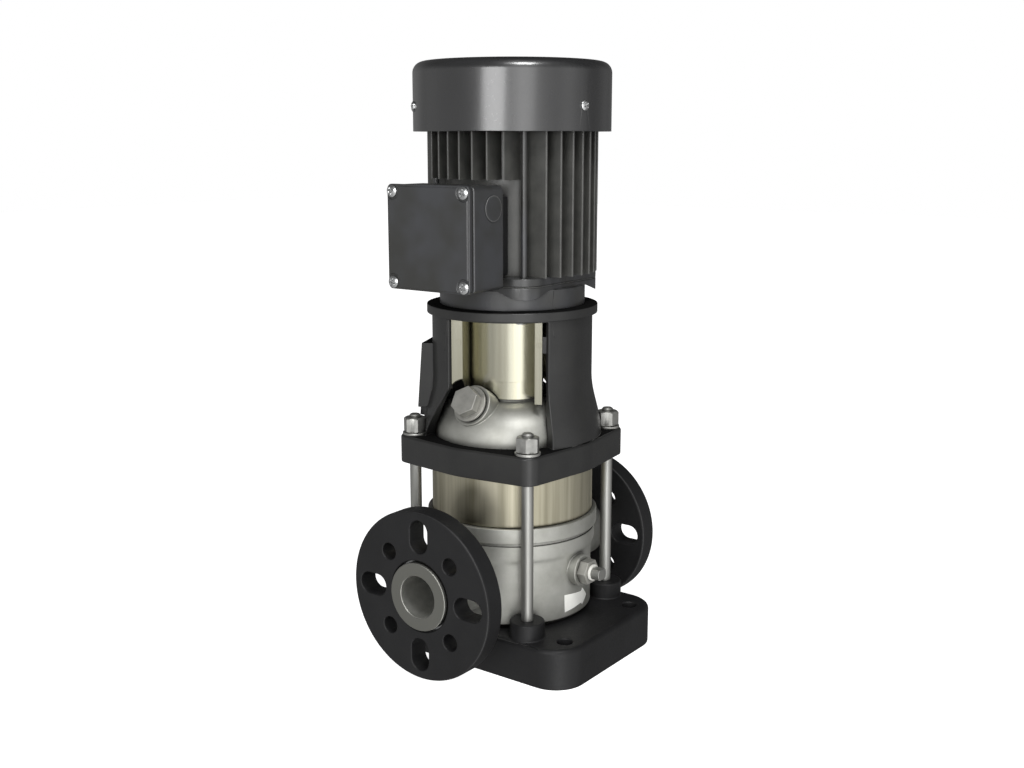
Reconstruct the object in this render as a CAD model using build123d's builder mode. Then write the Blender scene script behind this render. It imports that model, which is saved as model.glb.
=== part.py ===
from build123d import *
from math import cos, radians, sin, sqrt
import os

# Vertical multistage pump with ports in line and a finned motor on top.
# Millimetres. The origin is the centre of the foot of the base plate, +Z is up.
# The flow axis is Y: the inlet faces -Y, the outlet faces +Y.

# Ports and loose flanges
port_to_port = 250.0
port_height = 75.0
port_bore_dia = 35.0
neck_dia = 56.0
neck_stands_proud = 2.0
flange_dia = 140.0
flange_thick = 18.0
flange_edge = 1.0
flange_play = 0.05
round_hole_circle = 88.9
round_hole_dia = 14.0
slot_circle = 98.8
slot_width = 18.0
slot_length = 27.4
port_bolt_count = 4
duct_step = 1.5
ring_wire = 3.0
ring_depth = 1.5
ring_from_face = 5.0

# Base plate
base_beyond_bolts_x = 16.5
base_beyond_bolts_y = 25.0
base_corner_r = 27.0
base_height = 34.0
base_wall = 9.0
base_deck = 10.0
base_top_edge_r = 4.0
base_bolt_pitch_x = 180.0
base_bolt_pitch_y = 100.0
base_bolt_dia = 13.0
base_column_dia = 29.0
base_rib = 8.0

# Tie rods with their bosses, washers and nuts
rod_pitch = 118.0
rod_dia = 8.8
rod_hole_dia = 11.0
rod_seat_depth = 28.0
rod_end_above_nut = 3.0
boss_dia = 28.8
boss_height = 14.0
nut_across_flats = 17.0
nut_height = 12.5
nut_bevel = 1.0
nut_pocket_play = 1.0
washer_dia = 21.0
washer_thick = 2.0

# Pump housing
body_dia = 136.8
body_wall = 5.0
body_foot_r = 4.0
body_floor = 12.0
waist_height = 54.0
shoulder_height = 62.0
shoulder_dia = 142.4
neck_line_height = 72.0
neck_line_depth = 1.2
collar_from_foot = 75.2
collar_dia = 146.0
collar_height = 12.3
suction_dia = 68.0
partition_wall = 6.0
partition_height = 64.0
duct_wall = 4.5

# Outer sleeve and its sealing rings
sleeve_dia = 138.0
sleeve_wall = 1.5
sleeve_height = 44.5
spigot_height = 7.0
seal_ring_wire = 2.4
spigot_play = 0.2

# Stages inside the sleeve
stage_count = 4
stage_pitch = 18.0
chamber_play = 3.0
chamber_wall = 2.0
chamber_floor = 1.5
chamber_eye_dia = 34.0
guide_disc = 1.0
guide_height = 4.5
guide_vane_count = 6
guide_vane_wall = 1.2
guide_vane_angle = 20.0
guide_disc_gap = 4.0
impeller_dia = 80.0
impeller_height = 9.0
impeller_lift = 2.5
impeller_eye_dia = 30.0
shroud = 1.0
blade_count = 6
blade_wall = 1.2
blade_sweep = 52.0
shaft_dia = 12.0
hub_dia = 20.0
spacer_dia = 17.0
bush_dia = 18.0
top_vane_circle = 27.0
bush_play = 0.05
spider_height = 6.0
spider_arm_width = 7.0
spider_arm_count = 3
shaft_below_spider = 6.0

# Pump head
head_rim_dia = 142.0
head_rim_height = 10.0
head_dia = 132.0
head_shoulder_above_rim = 14.0
dome_r = 30.0
head_wall = 5.0
head_neck_height = 2.0
head_seal_dia = 32.0
head_lug_width = 12.0
head_lug_depth = 9.0
top_diffuser_thick = 2.0

# Shaft seal
seal_ring_dia = 22.0
seal_ring_height = 10.0
seal_gap = 0.3
seat_height = 8.0
gland_dia = 60.0
gland_height = 6.0
gland_screw_circle = 46.0
gland_screw_head_dia = 8.0
gland_screw_dia = 5.0
gland_screw_depth = 5.0
gland_screw_head = 3.0
gland_screw_count = 3
shaft_gap = 0.8

# Priming plug on the pump head
plug_tilt = 30.0
plug_boss_dia = 35.0
plug_boss_inset = 10.0
plug_boss_below_dome = 0.65
plug_boss_root = 16.0
plug_thread_dia = 20.6
plug_thread_length = 11.0
plug_play = 0.05
plug_washer_dia = 27.0
plug_washer_thick = 1.5
plug_collar_dia = 30.0
plug_collar_thick = 2.0
plug_flats = 22.0
plug_hex_height = 8.5

# Motor stool
foot_height = 23.5
foot_ledge = 11.5
foot_dia = 156.0
foot_lobe_dia = 24.0
foot_edge_r = 2.5
foot_play = 0.6
stool_dia = 135.0
stool_wall = 5.0
stool_root_dia = 152.0
stool_flare_height = 52.5
stool_ring_dia = 143.4
stool_ring_height = 7.6
stool_height = 134.7
stool_top_plate = 7.6
window_middle = -66.0
window_half_angle = 38.0
window_top_gap = 1.1
plug_notch_low = 47.0
plug_notch_high = 17.0
plug_notch_height = 44.5
pad_middle = -156.0
pad_width = 54.0
pad_low = 14.0
pad_high = 78.0
pad_low_reach = 76.8
pad_high_reach = 72.0

# Coupling guards
guard_sheet = 1.0
guard_arc_dia = 77.2
guard_wing_plane = 51.0
guard_wing_inner = 30.5
guard_wing_outer = 39.2
guard_wing_short = 36.0
guard_joggle = 1.0
guard_joggle_height = 16.0
guard_below = 35.0
guard_height = 67.5
guard_notch_height = 10.0
plug_cut_play = 1.0
lug_depth = 8.0
lug_width = 14.8
lug_height = 14.0
lug_from_top = 12.0
lug_offset = 38.6
guard_screw_offset = 33.4
guard_screw_dia = 3.0
guard_screw_head_dia = 4.4
guard_screw_head = 0.5
guard_screw_depth = 5.0

# Shaft coupling
coupling_dia = 48.0
coupling_length = 56.0
coupling_split = 2.0
coupling_below_top = 8.0
coupling_screw_dia = 6.0
coupling_screw_head_dia = 10.0
coupling_screw_head = 6.0
coupling_screw_offset = 15.0
coupling_screw_pitch = 34.0
coupling_flat_depth = 6.0

# Motor
motor_shaft_dia = 14.0
motor_shaft_end = 30.0
motor_bearing_bore = 15.0
rotor_shaft_dia = 20.0
fan_shaft_dia = 12.0
motor_register_dia = 80.0
motor_register_height = 3.0
shield_square = 112.0
shield_corner_r = 20.0
shield_height = 26.9
shield_drum_dia = 121.8
shield_drum_height = 16.3
shield_line_height = 19.8
shield_line_depth = 0.6
shield_line_width = 0.8
undercut_reach = 11.1
undercut_rise = 7.5
bearing_dia = 35.0
bearing_width = 11.0
bearing_ring = 3.2
bearing_seal = 0.8
bearing_from_foot = 11.6
stator_height = 113.4
stator_core_dia = 108.0
stator_shell_wall = 6.0
fin_circle_dia = 141.0
fin_pitch = 12.0
fin_count = 7
fin_thick = 2.2
lamination_height = 60.0
lamination_from_shield = 20.0
air_gap = 0.4
rotor_dia = 60.0
winding_height = 12.0
winding_ring = 13.0
stay_pitch = 89.0
stay_dia = 5.0
stay_head_dia = 9.0
stay_head = 3.5
stay_depth = 9.0
rear_shield_height = 11.0
rear_shield_dia = 138.0
rear_lug_width = 12.0
rear_lug_depth = 11.2
rear_lug_above_screw = 5.0
motor_bolt_circle = 100.0
motor_bolt_dia = 6.0
motor_bolt_head_dia = 10.0
motor_bolt_head = 4.0
motor_bolt_depth = 12.0
motor_bolt_count = 4

# Fan and fan cover
cover_dia = 162.0
cover_wall = 2.0
cover_height = 55.1
cover_edge_r = 9.0
grille_slot_width = 4.0
grille_inner_dia = 44.0
grille_outer_dia = 118.0
grille_slot_count = 16
cover_screw_angles = (-10.0, 110.0, 230.0)
cover_screw_height = 19.5
cover_screw_head_dia = 8.0
cover_screw_head = 2.5
cover_screw_dia = 4.0
cover_screw_depth = 8.0
fan_dia = 124.0
fan_hub_dia = 26.0
fan_height = 24.0
fan_disc = 2.5
fan_blade_wall = 2.0
fan_blade_count = 7
fan_above_shield = 6.0
fan_shaft_end = 34.0

# Terminal box
box_width = 84.0
box_height = 80.0
box_bottom = 318.5
box_face = 104.0
box_back = 68.0
box_wall = 3.0
box_corner_r = 4.0
lid_size = 81.4
lid_thick = 3.2
lid_border = 1.6
lid_panel_rise = 0.8
lid_notch_dia = 13.0
lid_screw_pitch = 70.6
lid_screw_dia = 5.0
lid_screw_head_dia = 9.0
lid_screw_head = 2.5
lid_screw_depth = 14.0
lid_post_dia = 10.0
gasket_thick = 1.0
pad_seat_width = 64.0
pad_seat_height = 62.0
cable_hole_dia = 30.0
knockout_dia = 18.0
knockout_flange_dia = 20.0
knockout_flange = 0.8
knockout_from_face = 23.0
knockout_above_bottom = 63.0
board_width = 46.0
board_height = 50.0
board_thick = 6.0
stud_dia = 4.0
stud_length = 14.0
stud_nut_dia = 8.0
stud_nut = 3.0
stud_pitch_x = 14.0
stud_pitch_z = 22.0

# Drain valve on the housing
drain_height = 77.0
drain_boss_dia = 27.0
drain_boss_reach = 75.0
drain_boss_root = 62.0
drain_thread_dia = 14.0
drain_thread_length = 12.0
drain_flats = 19.0
drain_hex_height = 8.0
drain_collar_dia = 13.6
drain_collar = 2.5
drain_stem_dia = 7.0
drain_stem_play = 0.05
drain_end_dia = 11.6
drain_end_flats = 9.0
drain_end_length = 8.0

# Heights and radii worked out from the sizes above
face = port_to_port / 2
neck_r = neck_dia / 2
port_r = port_bore_dia / 2
base_length = base_bolt_pitch_x + 2 * base_beyond_bolts_x
base_width = base_bolt_pitch_y + 2 * base_beyond_bolts_y
deck_top = base_height
boss_top = deck_top + boss_height
body_r = body_dia / 2
body_bore_r = body_r - body_wall
floor_top = deck_top + body_floor
collar_bottom = deck_top + collar_from_foot
collar_top = collar_bottom + collar_height
sleeve_r = sleeve_dia / 2
sleeve_bore_r = sleeve_r - sleeve_wall
sleeve_top = collar_top + sleeve_height
spigot_r = sleeve_bore_r - spigot_play
partition_top = deck_top + partition_height
stack_bottom = partition_top + spider_height
stack_top = stack_bottom + stage_count * stage_pitch
shaft_r = shaft_dia / 2
head_r = head_dia / 2
chamber_dia = head_dia - 2 * (head_wall + chamber_play)
guide_disc_dia = chamber_dia - 2 * (chamber_wall + guide_disc_gap)
rim_top = sleeve_top + head_rim_height
shoulder_z = rim_top + head_shoulder_above_rim
dome_top = shoulder_z + dome_r
head_top = dome_top + head_neck_height
neck_top_r = head_r - dome_r
foot_top = rim_top + foot_ledge
foot_bottom = foot_top - foot_height
stool_r = stool_dia / 2
stool_bore_r = stool_r - stool_wall
stool_top = foot_bottom + stool_height
ring_bottom = stool_top - stool_ring_height
window_top = ring_bottom - window_top_gap
flare_top = foot_top + stool_flare_height
guard_bottom = foot_top + guard_below
guard_top = guard_bottom + guard_height
nut_seat = foot_top + washer_thick
nut_top = nut_seat + nut_height
shield_top = stool_top + shield_height
stator_top = shield_top + stator_height
rear_top = stator_top + rear_shield_height
core_bottom = shield_top + lamination_from_shield
core_top = core_bottom + lamination_height
lug_face = guard_wing_plane - guard_sheet / 2
guard_screw_z = guard_top - lug_from_top - lug_height / 2
cover_top = stator_top + cover_height
plug_boss_y = plug_boss_inset - head_r
plug_boss_z = dome_top - plug_boss_below_dome
plug_plane = Plane(
    origin=(0, plug_boss_y, plug_boss_z),
    x_dir=(1, 0, 0),
    z_dir=(0, -cos(radians(plug_tilt)), sin(radians(plug_tilt))),
)
plug_plane_behind = Plane(
    origin=(0, -plug_boss_y, plug_boss_z),
    x_dir=(-1, 0, 0),
    z_dir=(0, cos(radians(plug_tilt)), sin(radians(plug_tilt))),
)

os.makedirs("parts", exist_ok=True)


def half_profile(*points):
    """Draw a face from its corners, each given as (outward, upward)."""
    return Polygon(*points, align=None)


def side_plane(side, distance):
    """Plane across the flow axis: side 1 is the inlet (-Y), side -1 the outlet."""
    return Plane.XZ.offset(side * distance)


def turned_plane(angle, height):
    """Level plane at a height, its x axis pointing out at an angle from +X."""
    outward = (cos(radians(angle)), sin(radians(angle)), 0)
    return Plane(origin=(0, 0, height), x_dir=outward, z_dir=(0, 0, 1))


def upright_plane(angle):
    """Vertical plane through the shaft axis, its x axis pointing out at an angle."""
    outward = (cos(radians(angle)), sin(radians(angle)), 0)
    sideways = (sin(radians(angle)), -cos(radians(angle)), 0)
    return Plane(origin=(0, 0, 0), x_dir=outward, z_dir=sideways)


def facing_plane(angle, distance):
    """Vertical plane facing outward at an angle, at a distance from the axis."""
    outward = (cos(radians(angle)), sin(radians(angle)), 0)
    sideways = (-sin(radians(angle)), cos(radians(angle)), 0)
    centre = (distance * outward[0], distance * outward[1], 0)
    return Plane(origin=centre, x_dir=sideways, z_dir=outward)


# Base plate: a hollow iron casting with ribs, four bolt columns and four rod bosses
with BuildPart() as base_plate:
    with BuildSketch(Plane.XY):
        RectangleRounded(base_length, base_width, base_corner_r)
    extrude(amount=base_height)
    fillet(base_plate.faces().sort_by(Axis.Z)[-1].edges(), base_top_edge_r)
    with BuildSketch(Plane.XY):
        RectangleRounded(
            base_length - 2 * base_wall,
            base_width - 2 * base_wall,
            base_corner_r - base_wall,
        )
        Rectangle(base_length, base_rib, mode=Mode.SUBTRACT)
        Rectangle(base_rib, base_width, mode=Mode.SUBTRACT)
        with GridLocations(base_bolt_pitch_x, base_bolt_pitch_y, 2, 2):
            Circle(base_column_dia / 2, mode=Mode.SUBTRACT)
        with GridLocations(rod_pitch, rod_pitch, 2, 2):
            Circle(boss_dia / 2, mode=Mode.SUBTRACT)
    extrude(amount=base_height - base_deck, mode=Mode.SUBTRACT)
    with BuildSketch(Plane.XY.offset(base_height - base_deck)):
        with GridLocations(rod_pitch, rod_pitch, 2, 2):
            Circle(boss_dia / 2)
    extrude(amount=base_deck + boss_height)
    with BuildSketch(Plane.XY.offset(boss_top)):
        with GridLocations(rod_pitch, rod_pitch, 2, 2):
            Circle(rod_dia / 2)
    extrude(amount=-rod_seat_depth, mode=Mode.SUBTRACT)
    with BuildSketch(Plane.XY):
        with GridLocations(base_bolt_pitch_x, base_bolt_pitch_y, 2, 2):
            Circle(base_bolt_dia / 2)
    extrude(amount=base_height, mode=Mode.SUBTRACT)
base_plate.part.label = "base_plate"
export_step(base_plate.part, "parts/base_plate.step")

# Pump housing: the body, two necks in line, a suction chamber and the space round it
with BuildPart() as pump_housing:
    with BuildSketch(Plane.XZ):
        half_profile(
            (0, deck_top),
            (body_r - body_foot_r, deck_top),
            (body_r, deck_top + body_foot_r),
            (body_r, deck_top + waist_height),
            (shoulder_dia / 2, deck_top + shoulder_height),
            (shoulder_dia / 2, deck_top + neck_line_height),
            (shoulder_dia / 2 - neck_line_depth, deck_top + neck_line_height),
            (shoulder_dia / 2 - neck_line_depth, collar_bottom),
            (collar_dia / 2, collar_bottom),
            (collar_dia / 2, collar_top),
            (spigot_r, collar_top),
            (spigot_r, collar_top + spigot_height),
            (0, collar_top + spigot_height),
        )
    revolve(axis=Axis.Z)
    for side in (1, -1):
        with BuildSketch(side_plane(side, body_bore_r)):
            with Locations((0, port_height)):
                Circle(neck_r)
        extrude(amount=side * (face + neck_stands_proud - body_bore_r))
    with BuildSketch(Plane.YZ.offset(drain_boss_root)):
        with Locations((0, drain_height)):
            Circle(drain_boss_dia / 2)
    extrude(amount=drain_boss_reach - drain_boss_root)
    with BuildSketch(Plane.XY.offset(floor_top)):
        Circle(body_bore_r)
        Circle(suction_dia / 2 + partition_wall, mode=Mode.SUBTRACT)
    extrude(amount=partition_top - floor_top, mode=Mode.SUBTRACT)
    with BuildSketch(Plane.XY.offset(partition_top)):
        Circle(body_bore_r)
    extrude(amount=collar_top + spigot_height - partition_top, mode=Mode.SUBTRACT)
    with BuildSketch(Plane.XY.offset(floor_top)):
        Circle(suction_dia / 2)
    extrude(amount=partition_top - floor_top, mode=Mode.SUBTRACT)
    with BuildSketch(side_plane(1, suction_dia / 2 + partition_wall / 2)):
        with Locations((0, port_height)):
            Circle(port_r + duct_wall)
    extrude(amount=body_bore_r - suction_dia / 2)
    with BuildSketch(side_plane(1, suction_dia / 4)):
        with Locations((0, port_height)):
            Circle(port_r + duct_step)
    extrude(amount=body_bore_r - suction_dia / 4, mode=Mode.SUBTRACT)
    with BuildSketch(side_plane(1, body_bore_r)):
        with Locations((0, port_height)):
            Circle(port_r)
    extrude(amount=face + neck_stands_proud, mode=Mode.SUBTRACT)
    with BuildSketch(side_plane(-1, suction_dia / 2 + partition_wall + duct_wall)):
        with Locations((0, port_height)):
            Circle(port_r)
    extrude(amount=-(face + neck_stands_proud), mode=Mode.SUBTRACT)
    for side in (1, -1):
        with BuildSketch(side_plane(side, face - ring_from_face)):
            with Locations((0, port_height)):
                Circle(neck_r)
                Circle(neck_r - ring_depth, mode=Mode.SUBTRACT)
        extrude(amount=-side * ring_wire, mode=Mode.SUBTRACT)
    with BuildSketch(Plane.XZ):
        with Locations((spigot_r, collar_top + spigot_height / 2)):
            Rectangle(seal_ring_wire, seal_ring_wire)
    revolve(axis=Axis.Z, mode=Mode.SUBTRACT)
    with BuildSketch(Plane.YZ.offset(drain_boss_reach)):
        with Locations((0, drain_height)):
            Circle(drain_thread_dia / 2)
    extrude(amount=-(drain_boss_reach - body_bore_r + body_wall), mode=Mode.SUBTRACT)
pump_housing.part.label = "pump_housing"
export_step(pump_housing.part, "parts/pump_housing.step")

# Retaining rings: they sit in the necks' grooves and hold the loose flanges
ring_outer_r = neck_r + ring_depth
with BuildPart() as flange_retaining_rings:
    for side in (1, -1):
        with BuildSketch(side_plane(side, face - ring_from_face)):
            with Locations((0, port_height)):
                Circle(ring_outer_r)
                Circle(neck_r - ring_depth, mode=Mode.SUBTRACT)
        extrude(amount=-side * ring_wire)
flange_retaining_rings.part.label = "flange_retaining_rings"
export_step(flange_retaining_rings.part, "parts/flange_retaining_rings.step")

# Loose flanges: four radial slots and four round holes serve several bolt circles
for side, flange_name in ((1, "inlet_flange"), (-1, "outlet_flange")):
    with BuildPart() as loose_flange:
        with BuildSketch(side_plane(side, face)):
            with Locations((0, port_height)):
                Circle(flange_dia / 2)
                Circle(neck_r + flange_play, mode=Mode.SUBTRACT)
                with PolarLocations(round_hole_circle / 2, port_bolt_count, start_angle=45):
                    Circle(round_hole_dia / 2, mode=Mode.SUBTRACT)
                with PolarLocations(slot_circle / 2, port_bolt_count):
                    SlotOverall(slot_length, slot_width, mode=Mode.SUBTRACT)
        extrude(amount=-side * flange_thick)
        rims = loose_flange.edges().filter_by(GeomType.CIRCLE)
        chamfer(rims.filter_by(lambda e: e.radius > flange_dia / 2 - flange_edge), flange_edge)
        with BuildSketch(side_plane(side, face)):
            with Locations((0, port_height)):
                Circle(ring_outer_r + flange_play)
        recess = ring_from_face + ring_wire + flange_play
        extrude(amount=-side * recess, mode=Mode.SUBTRACT)
    loose_flange.part.label = flange_name
    export_step(loose_flange.part, f"parts/{flange_name}.step")

# Outer sleeve, clamped between the housing collar and the pump head
with BuildPart() as outer_sleeve:
    with BuildSketch(Plane.XY.offset(collar_top)):
        Circle(sleeve_r)
        Circle(sleeve_bore_r, mode=Mode.SUBTRACT)
    extrude(amount=sleeve_height)
outer_sleeve.part.label = "outer_sleeve"
export_step(outer_sleeve.part, "parts/outer_sleeve.step")

# Sealing rings at the two ends of the sleeve
ring_heights = (collar_top + spigot_height / 2, sleeve_top - spigot_height / 2)
with BuildPart() as sleeve_seal_rings:
    with BuildSketch(Plane.XZ):
        for height in ring_heights:
            with Locations((spigot_r, height)):
                Rectangle(seal_ring_wire, seal_ring_wire)
        with Locations((sleeve_r, collar_top + sleeve_height / 2)):
            Rectangle(sleeve_wall * 2, sleeve_height, mode=Mode.SUBTRACT)
    revolve(axis=Axis.Z)
sleeve_seal_rings.part.label = "sleeve_seal_rings"
export_step(sleeve_seal_rings.part, "parts/sleeve_seal_rings.step")

# Bearing spider under the first stage: a seat ring and three arms round a hub
with BuildPart() as bearing_spider:
    with BuildSketch(Plane.XY.offset(partition_top)):
        Circle(suction_dia / 2 + partition_wall)
        Circle(suction_dia / 2 - partition_wall, mode=Mode.SUBTRACT)
        Circle(bush_dia / 2 + partition_wall / 2)
        with PolarLocations(suction_dia / 4, spider_arm_count):
            Rectangle(suction_dia / 2 - partition_wall, spider_arm_width)
        Circle(bush_dia / 2, mode=Mode.SUBTRACT)
    extrude(amount=spider_height)
bearing_spider.part.label = "bearing_spider"
export_step(bearing_spider.part, "parts/bearing_spider.step")

# Shaft bushes: one in the spider, one in the plate over the last stage
with BuildPart() as shaft_bushes:
    for height in (partition_top, stack_top - guide_height):
        with BuildSketch(Plane.XY.offset(height)):
            Circle(bush_dia / 2)
            Circle(shaft_r + bush_play, mode=Mode.SUBTRACT)
        extrude(amount=spider_height)
shaft_bushes.part.label = "shaft_bushes"
export_step(shaft_bushes.part, "parts/shaft_bushes.step")


def return_guide(top, hole_dia):
    """Guide disc below the height top, hung from the plate above it by its vanes."""
    vane_length = (guide_disc_dia - hub_dia) / 2 - guide_height
    with BuildPart() as guide:
        with BuildSketch(Plane.XY.offset(top)):
            with PolarLocations((guide_disc_dia + hub_dia) / 4, guide_vane_count):
                Rectangle(vane_length, guide_vane_wall, rotation=guide_vane_angle)
        extrude(amount=-guide_height)
        with BuildSketch(Plane.XY.offset(top - guide_height)):
            Circle(guide_disc_dia / 2)
            Circle(hole_dia / 2, mode=Mode.SUBTRACT)
        extrude(amount=-guide_disc)
    return guide.part


# Stage chambers: each cup carries the return guide of the stage below it
for stage in range(stage_count):
    floor = stack_bottom + stage * stage_pitch
    guide_of_stage_below = return_guide(floor, hub_dia + 2 * shaft_gap)
    with BuildPart() as stage_chamber:
        with BuildSketch(Plane.XY.offset(floor)):
            Circle(chamber_dia / 2)
            Circle(chamber_eye_dia / 2, mode=Mode.SUBTRACT)
        extrude(amount=chamber_floor)
        with BuildSketch(Plane.XY.offset(floor)):
            Circle(chamber_dia / 2)
            Circle(chamber_dia / 2 - chamber_wall, mode=Mode.SUBTRACT)
        extrude(amount=stage_pitch)
        if stage > 0:
            add(guide_of_stage_below)
    stage_chamber.part.label = f"stage_chamber_{stage + 1}"
    export_step(stage_chamber.part, f"parts/stage_chamber_{stage + 1}.step")

# Plate over the last stage: holds the upper bush and lets the water out round its hub
last_guide = return_guide(stack_top, bush_dia)
with BuildPart() as top_diffuser:
    with BuildSketch(Plane.XY.offset(stack_top)):
        Circle(chamber_dia / 2)
        Circle(bush_dia, mode=Mode.SUBTRACT)
        with PolarLocations(top_vane_circle / 2, guide_vane_count):
            Rectangle(bush_dia, guide_vane_wall)
        Circle(bush_dia / 2 + guide_disc)
        Circle(bush_dia / 2, mode=Mode.SUBTRACT)
    extrude(amount=top_diffuser_thick)
    add(last_guide)
    with BuildSketch(Plane.XY.offset(stack_top - guide_height)):
        Circle(bush_dia / 2 + guide_disc)
        Circle(bush_dia / 2, mode=Mode.SUBTRACT)
    extrude(amount=guide_height)
top_diffuser.part.label = "top_diffuser"
export_step(top_diffuser.part, "parts/top_diffuser.step")

# Impellers: two shrouds with swept blades between them, an eye and a hub
blade_bottom = impeller_lift + 2 * shroud
blade_top = impeller_lift + impeller_height - shroud
blade_in_r = impeller_eye_dia / 2 - shroud
blade_out_r = impeller_dia / 2
half_sweep = radians(blade_sweep / 2)
full_sweep = radians(blade_sweep)
blade_mid_r = (blade_in_r + blade_out_r) / 2
for stage in range(stage_count):
    floor = stack_bottom + stage * stage_pitch
    with BuildPart() as impeller:
        with BuildSketch(Plane.XZ):
            half_profile(
                (impeller_eye_dia / 2, floor + chamber_floor / 2),
                (impeller_eye_dia / 2 + shroud, floor + chamber_floor / 2),
                (impeller_eye_dia / 2 + shroud, floor + blade_bottom - shroud),
                (blade_out_r, floor + blade_bottom - shroud),
                (blade_out_r, floor + blade_bottom),
                (impeller_eye_dia / 2, floor + blade_bottom),
            )
            half_profile(
                (shaft_r, floor + impeller_lift),
                (hub_dia / 2, floor + impeller_lift),
                (hub_dia / 2, floor + blade_top),
                (blade_out_r, floor + blade_top),
                (blade_out_r, floor + blade_top + shroud),
                (shaft_r, floor + blade_top + shroud),
            )
        revolve(axis=Axis.Z)
        with BuildSketch(Plane.XY.offset(floor + blade_bottom)):
            with BuildLine():
                camber = ThreePointArc(
                    (blade_in_r, 0),
                    (blade_mid_r * cos(half_sweep), blade_mid_r * sin(half_sweep)),
                    (blade_out_r * cos(full_sweep), blade_out_r * sin(full_sweep)),
                )
            trace(camber, blade_wall)
        one_blade = extrude(amount=blade_top - blade_bottom)
        with PolarLocations(0, blade_count - 1, 360 / blade_count, 360 - 360 / blade_count):
            add(one_blade)
    impeller.part.label = f"impeller_{stage + 1}"
    export_step(impeller.part, f"parts/impeller_{stage + 1}.step")

# Spacers between the impeller hubs
spacer_length = stage_pitch - impeller_height
with BuildPart() as shaft_spacers:
    for stage in range(1, stage_count):
        below = stack_bottom + stage * stage_pitch + impeller_lift - spacer_length
        with BuildSketch(Plane.XY.offset(below)):
            Circle(spacer_dia / 2)
            Circle(shaft_r, mode=Mode.SUBTRACT)
        extrude(amount=spacer_length)
shaft_spacers.part.label = "shaft_spacers"
export_step(shaft_spacers.part, "parts/shaft_spacers.step")

# Pump head: rim under the stool foot, domed shoulder, seal bore and priming boss
head_bore_r = head_r - head_wall
dome_bore_r = dome_r - head_wall
dome_bore_mid = dome_bore_r * sin(radians(45))
with BuildPart() as pump_head:
    with BuildSketch(Plane.XZ):
        with BuildLine():
            Polyline(
                (0, head_top),
                (0, sleeve_top - spigot_height),
                (spigot_r, sleeve_top - spigot_height),
                (spigot_r, sleeve_top),
                (head_rim_dia / 2, sleeve_top),
                (head_rim_dia / 2, rim_top),
                (head_r, rim_top),
                (head_r, shoulder_z),
            )
            RadiusArc((head_r, shoulder_z), (neck_top_r, dome_top), -dome_r)
            Polyline((neck_top_r, dome_top), (neck_top_r, head_top), (0, head_top))
        make_face()
    revolve(axis=Axis.Z)
    with BuildSketch(plug_plane):
        Circle(plug_boss_dia / 2)
    extrude(amount=-plug_boss_root)
    with BuildSketch(Plane.XZ):
        half_profile(
            (0, dome_top - head_wall),
            (0, sleeve_top - spigot_height),
            (head_bore_r, sleeve_top - spigot_height),
            (head_bore_r, shoulder_z),
            (neck_top_r + dome_bore_mid, shoulder_z + dome_bore_mid),
            (neck_top_r, shoulder_z + dome_bore_r),
        )
    revolve(axis=Axis.Z, mode=Mode.SUBTRACT)
    with BuildSketch(Plane.XY.offset(stack_top + top_diffuser_thick)):
        with PolarLocations(head_bore_r - head_lug_depth / 2, 4, start_angle=45):
            Rectangle(head_lug_depth + head_wall, head_lug_width)
    extrude(amount=head_lug_width)
    with BuildSketch(Plane.XY.offset(head_top)):
        Circle(head_seal_dia / 2)
    extrude(amount=-seat_height, mode=Mode.SUBTRACT)
    with BuildSketch(Plane.XY.offset(head_top)):
        Circle(seal_ring_dia / 2 + 2 * shaft_gap)
    extrude(amount=-dome_r, mode=Mode.SUBTRACT)
    with BuildSketch(Plane.XY.offset(head_top)):
        with PolarLocations(gland_screw_circle / 2, gland_screw_count, start_angle=30):
            Circle(gland_screw_dia / 2)
    extrude(amount=-gland_screw_depth, mode=Mode.SUBTRACT)
    with BuildSketch(plug_plane):
        Circle(plug_thread_dia / 2 + plug_play)
    extrude(amount=-plug_boss_root - head_wall, mode=Mode.SUBTRACT)
    with BuildSketch(Plane.XZ):
        with Locations((spigot_r, sleeve_top - spigot_height / 2)):
            Rectangle(seal_ring_wire, seal_ring_wire)
    revolve(axis=Axis.Z, mode=Mode.SUBTRACT)
pump_head.part.label = "pump_head"
export_step(pump_head.part, "parts/pump_head.step")

# Shaft seal: a seat held in the head, a ring that turns with the shaft, a gland plate
seat_bottom = head_top - seat_height
with BuildPart() as seal_seat:
    with BuildSketch(Plane.XY.offset(seat_bottom)):
        Circle(head_seal_dia / 2)
        Circle(shaft_r + shaft_gap, mode=Mode.SUBTRACT)
    extrude(amount=seat_height)
seal_seat.part.label = "seal_seat"
export_step(seal_seat.part, "parts/seal_seat.step")

with BuildPart() as seal_turning_ring:
    with BuildSketch(Plane.XY.offset(seat_bottom - seal_gap)):
        Circle(seal_ring_dia / 2)
        Circle(shaft_r, mode=Mode.SUBTRACT)
    extrude(amount=-seal_ring_height)
seal_turning_ring.part.label = "seal_turning_ring"
export_step(seal_turning_ring.part, "parts/seal_turning_ring.step")

with BuildPart() as seal_gland:
    with BuildSketch(Plane.XY.offset(head_top)):
        Circle(gland_dia / 2)
        Circle(shaft_r + shaft_gap, mode=Mode.SUBTRACT)
        with PolarLocations(gland_screw_circle / 2, gland_screw_count, start_angle=30):
            Circle(gland_screw_dia / 2, mode=Mode.SUBTRACT)
    extrude(amount=gland_height)
    chamfer(seal_gland.edges().group_by(Axis.Z)[-1].sort_by(SortBy.LENGTH)[-1], shaft_gap)
seal_gland.part.label = "seal_gland"
export_step(seal_gland.part, "parts/seal_gland.step")

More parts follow.
